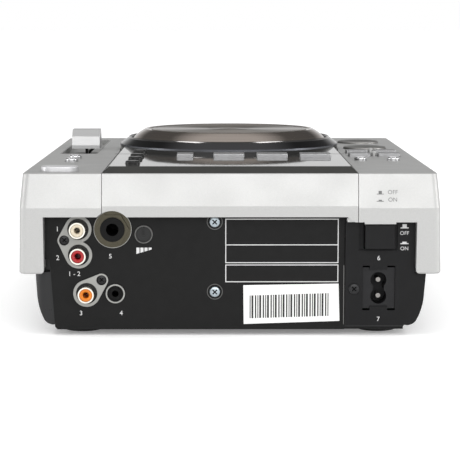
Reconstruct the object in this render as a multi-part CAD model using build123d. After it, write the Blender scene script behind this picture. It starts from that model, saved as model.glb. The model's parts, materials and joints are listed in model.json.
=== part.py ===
from build123d import *
import os

# Compact single-deck CD player for disc jockeys, as separate pieces. Millimetres.
# Frame: the origin is on the table under the middle of the player. +Z is up, -Y points
# to the person playing (disc slot side), +Y to the sockets, +X to that person's right.

# ---------------------------------------------------------------- case
width = 217.9             # over the skirts of the side covers
depth = 296.0             # over the creases of the front and rear faces
deck_z = 85.0             # flat top of the two side columns
skirt_z = 33.0            # lower edge of the skirts
crease_z = 67.4           # crease round the side covers
centre_crease_z = 68.4    # crease of the middle cover
side_lean = 1.6           # how far the sides lean in from crease to deck
side_flare = 0.85         # how far the sides spread from crease to skirt
rear_lean = 3.0           # rear band, crease to deck
front_lean = 13.0         # front slope, crease to deck
undercut = 2.8            # front and rear faces, crease to skirt
corner_radius = 4.0       # upright corners of the covers
edge_break = 0.3          # bevel round the deck
cover_wall = 2.5
seam_x = 65.8             # joint between the middle cover and the side covers
seam_gap = 0.3

skirt_edge = 0.7          # bevel round the lower edge of the covers
bay_corner = 2.0          # rounding of the skirts' corners beside the bays

# ---------------------------------------------------------------- lower case
hull_inset = 7.15         # sides of the tub, in from the skirts
hull_setback = 8.0        # front of the tub, behind the front crease
hull_wall = 2.5
hull_end_round = 8.0      # front edges of the tub
hull_rear_round = 6.5     # rear edge beside the sockets
hull_knee = (1.3, 19.8)   # the tub's section: in from its upper edge, and height
hull_bend = (3.4, 11.5)   # middle of the large round
hull_heel = (5.3, 7.6)    # where the large round meets the small one
hull_toe = (7.4, 6.0)     # middle of the small round
hull_rim = (10.8, 5.5)    # inner end of the small round
hull_floor_in = 11.6      # edge of the flat bottom
post_radius = 4.0
boss_depth = 8.0
bay_inset = 5.8           # ends of the socket bay, in from the tub's sides
bay_top_z = 62.7          # upper edge of the socket bay
bay_wall = 2.2            # upright walls of the bay, on the tub
ledge = 2.0               # ledges over the socket bay and the slot bay
sheet = 1.2               # sheet steel of the rear plate and base
base_z = 3.1              # underside of the steel base
plate_setback = 8.5       # rear face of the rear plate, before the rear crease
plate_gap = 0.2           # rear plate and power panel to the skirts
plate_notch = (2.6, 40.0, 1.2)  # recess at the plate's edge: width, height and top rounding
plate_foot_in = 5.0       # the plate's lower corner, in from the end of the bay
plate_bevel = 1.2
notch_depth = 5.0         # of the recess into the bay's wall
power_rise = 1.5          # rear face of the power panel, beyond the rear plate
power_foot_z = 5.5
power_half = 36.5         # width of the power panel, to the end of the bay
power_step = (0.8, 4.8)   # start and end of the sloped step in the bay's upper edge
power_bay_top_z = 60.0    # the socket bay is lower over the power panel
power_well = (9.5, 10.5, 1.05, 1.2)  # round the power key: to +X, to -X, below, and depth
foot_radius = 10.5
foot_in = (12.3, 22.0)    # middle of a foot, in from the flat bottom's side and the tub's front
foot_edge = 0.8
panel_gap = 0.2           # between rear plate and power panel

# ---------------------------------------------------------------- deck panel
panel_rise = 3.35         # raised panel above the deck, with a 45 degree bevel
panel_seam_in = 93.0      # joint between display window and jog plate, from the rear crease
panel_rear_in = 3.9       # ends of the panel, from the rear and front creases
panel_front_in = 14.6

# ---------------------------------------------------------------- jog wheel
jog_y = -33.0
jog_ring_radius = 66.6
jog_ring_edge = 0.5       # upright outer edge of the cone-shaped surround
jog_ring_rise = 4.4       # its inner lip, above the panel
jog_ring_lip = 1.3        # flat top of the lip, before its rounding
jog_ring_round = 0.6
jog_ring_gap = 0.7        # between the surround and the wheel's skirt
jog_skirt_radius = 59.3
jog_top_radius = 51.6
jog_rise = 9.35           # top of the wheel above the panel
jog_shoulder = 6.15       # its sloped shoulder, from the skirt to the top
jog_dish = 0.9            # depth of the dished top
jog_post_radius = 4.0
jog_hub_radius = 9.0
jog_top_wall = 1.2        # top of the wheel over the post
jog_web_drop = 3.0        # underside of the wheel's web, below its top
jog_waist = 3.1           # the skirt is undercut by this much under its rim
jog_wall = 2.5
jog_wall_drop = 0.4       # upper end of the skirt's inner wall, below its outer edge
jog_bulge = (3.7, 3.4)    # middle of the shoulder's slight curve, in and up from the skirt
jog_lip = 4.0             # width of the rim round the dished top
jog_rim = (1.6, 2.4)      # inner bevel of the rim, inwards from its outer edge
jog_rim_edge = 0.5
jog_rim_drop = 0.2
jog_skirt_edge = (0.6, 0.9)   # bevel under the skirt, and where it meets the waist
post_bevel = 0.5
bearing_flange_radius = 14.6
bearing_flange_rise = 2.4
running_fit = 0.05        # radial, on shafts
axial_gap = 0.4

# ---------------------------------------------------------------- buttons
button_gap = 0.35         # round every button, to its hole
button_lip = 1.0          # lip that keeps a button under the cover, wide and thick
button_rest_gap = 0.2     # under the cover, and over the switch when fully pressed
button_travel = 1.0
stem_radius = 1.6
key_corner = 0.8          # corners of the bar-shaped keys
key_edge = 0.5            # rounding round the top of a key
button_edge = 0.9         # rounding round the top of a small round button
key_rise = 2.0            # silver keys and round buttons above the surface
eject_breadth = 11.0
eject_margin = (13.15, 10.5)  # ends of the eject key, from the seam and from the skirt
eject_in = 19.5           # distances from the rear crease
eject_rise = 2.7
eject_edge = 0.8
flat_end = 0.05           # keeps a short flat between the round ends
bar_lengths = (9.0, 17.1, 17.1, 17.1)
bar_width = 10.5
bar_in = 72.8
bar_x = (24.5, 0.4, -23.4, -47.2)
search_breadth = 8.0
search_margin = (3.4, 10.05)  # ends of the search keys, from the seam and from the skirt
search_gap = 4.1
search_in = (121.0, 145.0)
round_radius = 3.5
mode_in = 90.0
mode_shift = (1.9, 0.4)   # round buttons, beside the middles of the search keys
range_in = (82.0, 106.0)
range_shift = 0.7         # beside the slider
dot_radius = 3.85
dot_x = 51.0
dot_in = (25.0, 53.0, 75.0, 103.0)
dot_rise = 1.6
cue_margin = (4.7, 12.45)  # edges of the two large keys, from the seam and from the skirt
cue_rise = 1.2
cue_dish = 0.7
cue_rim = 2.0             # flat rim round the dish
play_y = -88.0
cue_y = -35.0
dome_radius = 1.5         # two small raised markers between the search keys
dome_rise = 3.0
dome_bevel = 0.5
power_key_size = (15.3, 12.9)
power_key_in = 18.8       # from the end of the bay
power_key_z = 52.2
power_key_rise = 4.5
power_key_depth = 5.0     # inside the power panel
power_key_travel = 3.5
power_key_edge = 0.6

# ---------------------------------------------------------------- tempo slider
tray_margin = (12.7, 9.75)    # sides of the tray, from the seam and from the skirt
tray_y = (-113.0, 8.0)
tray_depth = 3.0
tray_wall = 0.8
fader_shift = 1.55        # slider, inwards from the tray's middle
fader_travel = 100.0
fader_slot = 3.2
fader_knob_size = (16.8, 20.0)
fader_knob_y = -34.0
fader_lip_rise = (0.7, 2.7)   # heights of the knob above the deck
fader_shoulder_rise = 8.0
fader_top_rise = 12.2
fader_lip = 1.2           # lip, shoulder and crest, inwards from the ends of the knob
fader_shoulder = 1.8
fader_crest = 6.0
fader_dip = 0.6
fader_floor = 2.0
fader_stem = (1.6, 5.0)
fader_body = (9.0, 113.0, 11.0)

# ---------------------------------------------------------------- sockets
# Places are measured from the end of the bay, and up from the table.
left_audio_in = (17.4, 55.6)
right_audio_in = (17.6, 42.2)
digital_in = (21.6, 22.1)
audio_screw_in = (10.2, 49.8)
digital_screw_in = (29.3, 29.0)
phono_shell_radius = 4.15
phono_shell_wall = 0.75
phono_pin_radius = 1.6
phono_length = 7.6        # shell beyond the rear plate
phono_ring_radius = 7.0
phono_ring_wall = 1.5
phono_block_half = 7.3
phono_block_depth = 14.0
phono_seat = 8.0          # depth of the shell in its block
phono_pin_depth = 11.0
phono_set_back = 0.3
small_ring_radius = 3.45
small_ring_wall = 0.8
ring_rise = 0.6           # socket rings stand proud of the rear plate
ring_fit = 0.1
phones_in = (35.3, 55.7)
phones_bore = 3.25
phones_collar_radius = 6.3
phones_washer_radius = 9.9
phones_washer = 0.9
phones_nut = 2.0
phones_collar_rise = 1.0
phones_nut_flats = 15.0
phones_body = (17.0, 30.0, 13.0)
phones_depth = 27.0
control_socket_in = (36.4, 21.9)
control_bore = 1.8
control_ring_radius = 5.0
control_ring_wall = 0.9
control_bore_wall = 1.0
socket_back = 2.0         # moulding behind the end of the bore
control_body = 9.0
control_depth = 14.0
volume_in = (51.3, 52.9)
volume_radius = 4.0
volume_ring_radius = 4.65
volume_ring_wall = 0.5
volume_bush_wall = 1.4
volume_mark = 1.0         # groove that marks the knob's setting
volume_body = 12.0
volume_bush = 8.0
volume_pot_depth = 11.0
volume_shaft = 8.0
volume_shaft_radius = 1.5
plate_screw_at = ((7.9, 59.4), (7.9, 22.9))
power_screw_in = (31.7, 24.6)
screw_head_radius = 2.8
screw_shank_radius = 1.45
screw_bore = 1.5
screw_hole = 1.6
screw_length = 6.5
screw_head = (1.3, 1.2)   # heights of the larger and the smaller heads
screw_edge = 0.4
cross_depth = 0.7
sunk_head_radius = 2.55   # heads inside the small rings
inlet_in = (10.5, 27.2)   # outer and inner side of the mains inlet
inlet_z = (13.4, 36.6)
inlet_tab = (4.55, 2.0)   # tabs of the panel into the inlet: half width and length
inlet_corner = 0.9        # the inlet is this much shorter than its hole
inlet_pin_in = 19.0
inlet_pin_z = (20.75, 29.1)
inlet_pin_radius = 1.2
inlet_lobe_radius = 4.15
inlet_waist = 2.9
inlet_set_back = 0.8
inlet_pin_set_back = 2.0
socket_depth = 11.0

# ---------------------------------------------------------------- inside
board = 1.6
control_board_z = 74.4
switch_size = 6.0
switch_height = 2.5
display_x = 37.0
display_in = (62.0, 21.0)     # near and far edge, from the rear crease
display_lip = 1.0         # the cover's opening laps over the display by this much
control_margin = 7.95     # board to the skirts
control_board_in = (21.0, 20.0)   # board to the front and rear creases
control_side = 8.5        # the board's side, before the slider's tray
control_wing_in = (8.0, 12.0)  # its wing, behind the slider and from the rear crease
board_post_x = 58.0
board_post_in = (30.0, 26.0, 36.0)  # from the front crease, and two from the rear crease
main_board_z = 12.0
main_board_x = (1.5, 50.0)    # from the power panel's edge, and its other side
main_board_in = (124.0, 21.0)  # near and far edge, from the rear crease
main_post_in = (6.0, 7.0)
main_chips = ((28.0, 36.0, 20.0, 20.0, 2.0), (63.0, 56.0, 14.0, 14.0, 2.0),
              (48.0, 76.0, 10.0, 18.0, 8.0))
power_board_in = (4.0, 27.1)  # sides, from the end of the bay
power_board_z = (9.0, 60.0)
power_board_back = 28.3       # before the hull's rear end
transformer_depth = 20.0
transformer_half = 10.0
transformer_z = (13.0, 37.0)
tab_in = (44.0, 26.0)     # tabs that tie the covers together, from the rear and front creases
tab_length = 4.5
disc_z = 50.0             # plane in which a disc is carried
spindle_in = 92.0         # behind the tub's front
frame_half = 75.0
frame_in = (8.0, 156.0)   # ends of the drive's frame, behind the tub's front
frame_z = (36.0, 61.0)
frame_sheet = 1.5
frame_post_x = 66.0
frame_post_in = (10.0, 8.0)   # in from the ends of the frame
slot_half = 62.5
slot_height = 5.0
lip_gap = 1.6             # between the two felt lips of the dust curtain
felt = 0.8
eject_pin_x = 72.0
eject_pin_radius = 0.8
felt_margin = 4.0         # felt beyond the slot, where it is glued on
fascia_sheet = 2.5
roller_in = 19.0          # behind the tub's front
roller_radius = 3.5
roller_end = 13.0          # roller, gear and loading motor, in from the frame's side
roller_shaft = 1.5
roller_gear = 6.0
roller_gear_in = (11.0, 8.0)
clamp_radius = 17.0
motor_radius = 10.5
motor_flange_radius = 15.5
motor_rise = 6.5
motor_drop = 6.0
motor_shaft_radius = 1.0
motor_flange = 1.2
shaft_drop = 1.2          # end of the motor shaft, under the disc's plane
turntable_radius = 15.0
disc_half = 0.6           # half a disc's thickness
disc_cone_radius = 7.4
disc_cone_rise = 1.8
sled_x = 17.0
sled_size = (20.0, 44.0, 5.5)
lens_x = 24.0
lens_radius = 3.5
lens_drop = 3.5           # top of the lens, under the disc's plane
rail_start = 12.0
rail_height = 3.0
bracket = 2.5
lead_radius = 2.0
lead_offset = 8.0
lead_height = 6.0
lead_block = 4.0          # half width of the lead screw's bearing blocks
lead_cap = 3.5            # their height over its axis
lead_end_gap = 0.3
feed_motor_radius = 5.5
feed_motor_length = 26.0
loading_motor_end = 9.0
loading_motor_in = 40.0
rail_radius = 1.5
rail_block = 3.0          # half width of the rails' end blocks
rail_offset = 18.0        # rails either side of the spindle
clearance = 0.4           # between pieces that don't touch
press_fit = 0.02          # radial, on pins and rails that are pressed in
seat_gap = 0.2            # short of an end or face
past = 1.0                # how far cuts run out, and joined forms run in, past a face
sink = 0.5                # the same, where the wall is thin
blind_end = 1.0           # left over the end of a blind screw bore

rear_y = depth / 2
plate_y = rear_y - plate_setback
power_face_y = plate_y + power_rise
hull_front_y = hull_setback - rear_y
hull_half = width / 2 - hull_inset
hull_floor_half = hull_half - hull_floor_in
bay_half = hull_half - bay_inset
power_x = power_half - bay_half
foot_x = hull_floor_half - foot_in[0]
foot_y = -hull_front_y - foot_in[1]
panel_z = deck_z + panel_rise
cover_inside_z = deck_z - cover_wall
control_top_z = control_board_z + board
main_top_z = main_board_z + board
hull_floor_z = base_z + sheet
hull_inside_z = hull_floor_z + hull_wall
hull_rear_y = plate_y - sheet
shelf_top_z = skirt_z + hull_wall
jog_top_z = panel_z + jog_rise
jog_skirt_z = jog_top_z - jog_shoulder

panel_seam_y = rear_y - panel_seam_in
panel_rear_y = rear_y - panel_rear_in
panel_front_y = panel_front_in - rear_y
bar_y = rear_y - bar_in
dot_y = [rear_y - inward for inward in dot_in]
display_y = (rear_y - display_in[0], rear_y - display_in[1])

skirt_x = width / 2
eject_length = skirt_x - seam_x - sum(eject_margin)
eject_size = (eject_length, eject_breadth)
eject_at = (seam_x + eject_margin[0] + eject_length / 2, rear_y - eject_in)
search_length = (skirt_x - seam_x - sum(search_margin) - search_gap) / 2
search_size = (search_length, search_breadth)
search_x = (-seam_x - search_margin[0] - search_length / 2,
            search_margin[1] + search_length / 2 - skirt_x)
search_y = [rear_y - inward for inward in search_in]
mode_at = [(x + shift, rear_y - mode_in) for x, shift in zip(search_x, mode_shift)]
cue_radius = (skirt_x - seam_x - sum(cue_margin)) / 2
cue_x = -seam_x - cue_margin[0] - cue_radius
cue_at = (cue_x, cue_y)
play_at = (cue_x, play_y)
tray_x = (seam_x + tray_margin[0], skirt_x - tray_margin[1])
fader_x = sum(tray_x) / 2 - fader_shift
range_at = [(fader_x + range_shift, rear_y - inward) for inward in range_in]

left_audio_at = (bay_half - left_audio_in[0], left_audio_in[1])
right_audio_at = (bay_half - right_audio_in[0], right_audio_in[1])
digital_at = (bay_half - digital_in[0], digital_in[1])
audio_screw_at = (bay_half - audio_screw_in[0], audio_screw_in[1])
digital_screw_at = (bay_half - digital_screw_in[0], digital_screw_in[1])
phones_at = (bay_half - phones_in[0], phones_in[1])
control_at = (bay_half - control_socket_in[0], control_socket_in[1])
volume_at = (bay_half - volume_in[0], volume_in[1])
power_screw_at = (power_screw_in[0] - bay_half, power_screw_in[1])
power_key_at = (power_key_in - bay_half, power_key_z)
inlet_x = (inlet_in[0] - bay_half, inlet_in[1] - bay_half)
inlet_pin_x = inlet_pin_in - bay_half
power_board_x = (power_board_in[0] - bay_half, power_board_in[1] - bay_half)
power_board_y = hull_rear_y - power_board_back

spindle_y = hull_front_y + spindle_in
frame_y = (hull_front_y + frame_in[0], hull_front_y + frame_in[1])
roller_y = hull_front_y + roller_in
loading_motor_y = hull_front_y + loading_motor_in
frame_posts = [(side * frame_post_x, y) for side in (-1, 1)
               for y in (frame_y[0] + frame_post_in[0], frame_y[1] - frame_post_in[1])]
control_board_x = (control_margin - skirt_x, tray_x[0] - control_side)
control_board_y = (control_board_in[0] - rear_y, rear_y - control_board_in[1])
control_wing_x = skirt_x - control_margin
control_wing_y = (tray_y[1] + control_wing_in[0], rear_y - control_wing_in[1])
tab_y = (rear_y - tab_in[0], tab_in[1] - rear_y)
board_posts = ((-board_post_x, rear_y - board_post_in[1]), (board_post_x, rear_y - board_post_in[2]),
               (-board_post_x, board_post_in[0] - rear_y), (board_post_x, board_post_in[0] - rear_y))
main_x = (power_x + main_board_x[0], main_board_x[1])
main_y = (rear_y - main_board_in[0], rear_y - main_board_in[1])
main_posts = [(x, y) for x in (main_x[0] + main_post_in[0], main_x[1] - main_post_in[0])
              for y in (main_y[0] + main_post_in[0], main_y[1] - main_post_in[1])]

pieces = {}


def block(x0, x1, y0, y1, z0, z1):
    """A block between two opposite corners."""
    centre = Pos((x0 + x1) / 2, (y0 + y1) / 2, (z0 + z1) / 2)
    return centre * Box(x1 - x0, y1 - y0, z1 - z0)


def rod_x(y, z, x0, x1, radius):
    return Pos((x0 + x1) / 2, y, z) * Rot(0, 90, 0) * Cylinder(radius, x1 - x0)


def rod_y(x, z, y0, y1, radius):
    return Pos(x, (y0 + y1) / 2, z) * Rot(90, 0, 0) * Cylinder(radius, y1 - y0)


def rod_z(x, y, z0, z1, radius):
    return Pos(x, y, (z0 + z1) / 2) * Cylinder(radius, z1 - z0)


def tube_y(x, z, y0, y1, outer, inner):
    return rod_y(x, z, y0, y1, outer) - rod_y(x, z, y0 - past, y1 + past, inner)


def facing_rear(x, y, z):
    """A plane that faces the rear, with its own x along the player's X."""
    return Plane(origin=(x, y, z), x_dir=(1, 0, 0), z_dir=(0, 1, 0))


def slab(points, y0, y1):
    """An outline of (X, Z) points carried from y0 to y1."""
    face = make_face(Polyline(*[(x, y0, z) for x, z in points], close=True))
    return extrude(face, amount=y1 - y0, dir=(0, 1, 0))


def turned(points, x, y):
    """An outline of (radius, Z) points turned about an upright axis at x, y."""
    face = make_face(Polyline(*[(r, 0, z) for r, z in points], close=True))
    return Pos(x, y, 0) * revolve(face, Axis.Z)


# ---------------------------------------------------------------- covers
def cover_edges(z, crease):
    """Half width, front edge and rear edge of the covers' outside at height z."""
    half_crease = width / 2 - side_flare
    if z < crease:
        up = (z - skirt_z) / (crease - skirt_z)
        reach = rear_y - (1 - up) * undercut
        return width / 2 - up * side_flare, -reach, reach
    up = (z - crease) / (deck_z - crease)
    return half_crease - up * side_lean, front_lean * up - rear_y, rear_y - rear_lean * up


def cover_section(z, crease, inset):
    half, front, rear = cover_edges(z, crease)
    outline = RectangleRounded(2 * (half - inset), rear - front - 2 * inset,
                               corner_radius - inset)
    return Pos(0, (front + rear) / 2, z) * outline


def cover_shell(crease):
    """The closed outside of the covers, hollowed from below."""
    shoulder_z = deck_z - edge_break
    outside = loft([cover_section(skirt_z, crease, skirt_edge),
                    cover_section(skirt_z + skirt_edge, crease, 0),
                    cover_section(crease, crease, 0),
                    cover_section(shoulder_z, crease, 0),
                    cover_section(deck_z, crease, edge_break)], ruled=True)
    hollow = loft([cover_section(skirt_z, crease, cover_wall),
                   cover_section(crease, crease, cover_wall),
                   cover_section(cover_inside_z, crease, cover_wall)], ruled=True)
    return outside - hollow


def bay_outline():
    """The socket bay in the rear face, as (X, Z) points. It is lower over the power key."""
    key_x = power_key_at[0]
    lip = power_key_size[0] / 2 + clearance
    lip_z = power_key_at[1] + power_key_size[1] / 2 + clearance
    below = skirt_z - past
    return [(bay_half, below), (bay_half, bay_top_z), (power_x - power_step[0], bay_top_z),
            (power_x - power_step[1], power_bay_top_z), (key_x + lip, power_bay_top_z),
            (key_x + lip, lip_z), (key_x - lip, lip_z), (key_x - lip, power_bay_top_z),
            (-bay_half, power_bay_top_z), (-bay_half, below)]


def add_bays(cover):
    """Opens the socket bay and the slot bay, and adds the ledges over them."""
    cover -= slab(bay_outline(), plate_y, rear_y + past)
    cover -= block(-bay_half, bay_half, -rear_y - past, hull_front_y, skirt_z - past, bay_top_z)
    corner_x = bay_half + bay_corner
    for side in (-1, 1):
        square = block(*sorted((side * (bay_half - past), side * corner_x)), -depth, depth,
                       skirt_z - past, skirt_z + bay_corner)
        cover -= square - rod_y(side * corner_x, skirt_z + bay_corner, -depth - past, depth + past,
                                bay_corner)
    in_wall = rear_y - cover_wall + sink
    step_x = power_x - power_step[0]
    cover += block(step_x, bay_half, plate_y, in_wall, bay_top_z, bay_top_z + ledge)
    cover += block(-bay_half, step_x, hull_rear_y, in_wall, power_bay_top_z,
                   power_bay_top_z + ledge)
    cover += block(-bay_half, bay_half, -in_wall, hull_front_y - fascia_sheet, bay_top_z,
                   bay_top_z + ledge)
    notch = phones_washer_radius + clearance
    return cover - rod_y(phones_at[0], phones_at[1], plate_y, rear_y + past, notch)


def tray_block(spread, z0, z1):
    """The slider tray's plan, spread outwards, between two heights."""
    return block(tray_x[0] - spread, tray_x[1] + spread, tray_y[0] - spread,
                 tray_y[1] + spread, z0, z1)


def clip_rail(side):
    """Rail inside a skirt, which seats the side cover on the tub's shelf."""
    rail_x = sorted((side * bay_half, side * (bay_half + cover_wall)))
    reach = rear_y - cover_wall - seat_gap
    return block(*rail_x, -reach, reach, shelf_top_z, power_bay_top_z + ledge)


def seam_tabs():
    """Tabs of the middle cover, which lie under the side covers along the seams."""
    tabs = []
    for side in (-1, 1):
        for y in tab_y:
            tab_x = sorted((side * (seam_x - tab_length), side * (seam_x + tab_length)))
            tabs.append(block(*tab_x, y - tab_length, y + tab_length,
                              cover_inside_z - cover_wall, cover_inside_z))
    return tabs


def make_covers():
    side_form = add_bays(cover_shell(crease_z))
    centre_form = add_bays(cover_shell(centre_crease_z))
    for hole in button_holes(cover_inside_z - past, deck_z + past):
        side_form -= hole
        centre_form -= hole
    side_form -= rod_z(0, jog_y, cover_inside_z - past, deck_z + past,
                       jog_ring_radius + clearance)
    side_form -= tray_block(tray_wall, cover_inside_z - past, deck_z + past)
    seam_in = seam_x - seam_gap / 2
    seam_out = seam_x + seam_gap / 2
    for name, side in (("right_side_cover", 1), ("left_side_cover", -1)):
        reach = sorted((side * seam_out, side * width))
        cover = side_form & block(*reach, -depth, depth, 0, deck_z + past)
        pieces[name] = cover + clip_rail(side)
    dome_top = deck_z + dome_rise
    for y in search_y:
        pieces["left_side_cover"] += turned(
            [(0, deck_z - past), (dome_radius, deck_z - past), (dome_radius, dome_top - dome_bevel),
             (dome_radius - dome_bevel, dome_top), (0, dome_top)], sum(search_x) / 2, y)

    centre = centre_form & block(-seam_in, seam_in, -depth, depth, 0, deck_z + past)
    centre -= block(-display_x + display_lip, display_x - display_lip,
                    display_y[0] + display_lip, display_y[1] - display_lip,
                    cover_inside_z - past, deck_z + past)
    for tab in seam_tabs():
        centre += tab
    for x, y in board_posts:
        centre += rod_z(x, y, control_top_z, cover_inside_z + sink, post_radius)
    x, z = plate_screw_at[0]
    boss = block(x - post_radius, x + post_radius, hull_rear_y - boss_depth, hull_rear_y,
                 z - post_radius, cover_inside_z + sink)
    boss -= rod_y(x, z, hull_rear_y - boss_depth - past, hull_rear_y + past, screw_bore)
    pieces["centre_cover"] = centre + boss


# ---------------------------------------------------------------- deck panel
def make_panel():
    length = panel_rear_y - panel_front_y
    plan = Rectangle(2 * seam_x - seam_gap, length)
    raised = Pos(0, (panel_rear_y + panel_front_y) / 2, deck_z) * extrude(
        plan, amount=panel_rise, taper=45)
    for hole in button_holes(deck_z - past, panel_z + past):
        raised -= hole
    cut_y = panel_seam_y + seam_gap / 2
    pieces["display_window"] = raised & block(-width, width, cut_y, depth, 0, 2 * deck_z)
    cut_y = panel_seam_y - seam_gap / 2
    plate = raised & block(-width, width, -depth, cut_y, 0, 2 * deck_z)
    plate += rod_z(0, jog_y, deck_z, panel_z, jog_ring_radius)
    plate -= rod_z(0, jog_y, deck_z - past, panel_z + past, bearing_flange_radius + clearance)
    pieces["jog_plate"] = plate
    pieces["display_module"] = block(-display_x, display_x, *display_y, control_top_z,
                                     cover_inside_z)


# ---------------------------------------------------------------- jog wheel
def make_jog():
    ring_top = panel_z + jog_ring_rise
    inner = jog_skirt_radius + jog_ring_gap
    ring = turned([(inner, panel_z), (jog_ring_radius, panel_z),
                   (jog_ring_radius, panel_z + jog_ring_edge),
                   (inner + jog_ring_lip, ring_top), (inner, ring_top)], 0, jog_y)
    lip_edges = ring.edges().filter_by(GeomType.CIRCLE).group_by(Axis.Z)[-1]
    pieces["jog_surround"] = fillet(lip_edges, jog_ring_round)
    flange_top = deck_z + bearing_flange_rise
    post_top = jog_top_z - jog_dish - jog_top_wall - axial_gap
    pieces["jog_bearing"] = turned(
        [(0, deck_z), (bearing_flange_radius, deck_z), (bearing_flange_radius, flange_top),
         (jog_post_radius, flange_top), (jog_post_radius, post_top - post_bevel),
         (jog_post_radius - post_bevel, post_top), (0, post_top)], 0, jog_y)

    bore = jog_post_radius + running_fit
    hub_z = flange_top + axial_gap
    web_z = jog_top_z - jog_web_drop
    waist = jog_skirt_radius - jog_waist
    waist_in = waist - jog_wall
    foot_z = panel_z + axial_gap
    rim = jog_top_radius
    rim_z = jog_top_z - jog_rim_drop
    dish_z = jog_top_z - jog_dish
    with BuildLine(Plane.XZ) as outline:
        Polyline((0, post_top + axial_gap), (bore, post_top + axial_gap), (bore, hub_z),
                 (jog_hub_radius, hub_z), (jog_hub_radius, web_z),
                 (rim - jog_lip, web_z), (waist_in, jog_skirt_z - jog_wall_drop),
                 (waist_in, foot_z), (waist, foot_z), (waist, jog_skirt_z - jog_skirt_edge[1]),
                 (jog_skirt_radius - jog_skirt_edge[0], jog_skirt_z - jog_skirt_edge[0]),
                 (jog_skirt_radius, jog_skirt_z))
        ThreePointArc((jog_skirt_radius, jog_skirt_z),
                      (jog_skirt_radius - jog_bulge[0], jog_skirt_z + jog_bulge[1]),
                      (rim, rim_z))
        Polyline((rim, rim_z), (rim - jog_rim_edge, jog_top_z),
                 (rim - jog_rim[0], jog_top_z - jog_rim_drop),
                 (rim - jog_rim[1], dish_z + jog_rim_drop),
                 (rim - jog_lip, dish_z), (0, dish_z),
                 (0, post_top + axial_gap))
    pieces["jog_wheel"] = Pos(0, jog_y, 0) * revolve(make_face(outline.line), Axis.Z)


# ---------------------------------------------------------------- deck buttons
def bar_plan(index):
    return RectangleRounded(bar_lengths[index], bar_width, key_corner)


def deck_buttons():
    """Name, plan, place, surface height, rise and rounding of every deck button."""
    end_radius = min(eject_size) / 2 - flat_end
    buttons = [("eject_button", RectangleRounded(*eject_size, end_radius), eject_at, deck_z,
                eject_rise, eject_edge)]
    for index, x in enumerate(bar_x):
        buttons.append((f"loop_button_{index + 1}", bar_plan(index), (x, bar_y), panel_z,
                        key_rise, key_edge))
    for row, y in enumerate(search_y):
        for column, x in enumerate(search_x):
            name = f"search_button_{2 * row + column + 1}"
            plan = RectangleRounded(*search_size, key_corner)
            buttons.append((name, plan, (x, y), deck_z, key_rise, key_edge))
    for index, place in enumerate(mode_at):
        buttons.append((f"mode_button_{index + 1}", Circle(round_radius), place, deck_z,
                        key_rise, button_edge))
    for index, place in enumerate(range_at):
        buttons.append((f"range_button_{index + 1}", Circle(round_radius), place, deck_z,
                        key_rise, button_edge))
    for index, y in enumerate(dot_y):
        buttons.append((f"display_button_{index + 1}", Circle(dot_radius), (dot_x, y),
                        panel_z, dot_rise, button_edge))
    buttons.append(("cue_button", Circle(cue_radius), cue_at, deck_z, cue_rise, key_edge))
    buttons.append(("play_button", Circle(cue_radius), play_at, deck_z, cue_rise, key_edge))
    return buttons


def button_holes(z0, z1):
    """Holes for every deck button, between two heights."""
    return [Pos(*place, z0) * extrude(offset(plan, amount=button_gap), amount=z1 - z0)
            for name, plan, place, surface, rise, rounding in deck_buttons()]


def make_buttons():
    lip_top = cover_inside_z - button_rest_gap
    stem_foot = control_top_z + switch_height + button_travel + button_rest_gap
    for name, plan, (x, y), surface, rise, rounding in deck_buttons():
        top = surface + rise
        cap = extrude(plan, amount=top - lip_top)
        cap = fillet(cap.faces().sort_by(Axis.Z)[-1].edges(), rounding)
        lip = Pos(0, 0, -button_lip) * extrude(offset(plan, amount=button_lip),
                                               amount=button_lip)
        stem = rod_z(0, 0, stem_foot - lip_top, 0, stem_radius)
        button = cap + lip + stem
        if name in ("cue_button", "play_button"):
            dish_radius = cue_radius - cue_rim
            ball = (dish_radius ** 2 + cue_dish ** 2) / (2 * cue_dish)
            button -= Pos(0, 0, top - lip_top - cue_dish + ball) * Sphere(ball)
        pieces[name] = Pos(x, y, lip_top) * button


# ---------------------------------------------------------------- tempo slider
def make_slider():
    floor_z = deck_z - tray_depth
    slot_half_length = (fader_travel + fader_stem[1]) / 2 + clearance
    middle_y = sum(tray_y) / 2
    slot = (fader_x - fader_slot / 2, fader_x + fader_slot / 2,
            middle_y - slot_half_length, middle_y + slot_half_length)
    tray = tray_block(tray_wall, floor_z - tray_wall, deck_z)
    tray -= tray_block(0, floor_z, deck_z + past)
    pieces["tempo_tray"] = tray - block(*slot, floor_z - tray_wall - past, deck_z)
    body_top = floor_z - tray_wall
    body = block(fader_x - fader_body[0] / 2, fader_x + fader_body[0] / 2,
                 middle_y - fader_body[1] / 2, middle_y + fader_body[1] / 2,
                 body_top - fader_body[2], body_top)
    pieces["tempo_fader"] = body - block(*slot, body_top - fader_body[2] + fader_floor, body_top + past)

    half = fader_knob_size[1] / 2
    foot_z, lip_z = [deck_z + rise for rise in fader_lip_rise]
    shoulder_z = deck_z + fader_shoulder_rise
    top_z = deck_z + fader_top_rise
    profile = [(-half, foot_z), (half, foot_z), (half, lip_z), (half - fader_lip, lip_z),
               (half - fader_shoulder, shoulder_z), (half - fader_crest, top_z),
               (0, top_z - fader_dip), (fader_crest - half, top_z),
               (fader_shoulder - half, shoulder_z), (fader_lip - half, lip_z), (-half, lip_z)]
    face = make_face(Polyline(*[(0, y, z) for y, z in profile], close=True))
    knob = extrude(face, amount=fader_knob_size[0] / 2, dir=(1, 0, 0), both=True)
    stem_foot = body_top - fader_body[2] + fader_floor + clearance
    knob += block(-fader_stem[0] / 2, fader_stem[0] / 2, -fader_stem[1] / 2,
                  fader_stem[1] / 2, stem_foot, foot_z + sink)
    pieces["tempo_knob"] = Pos(fader_x, fader_knob_y, 0) * knob


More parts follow.
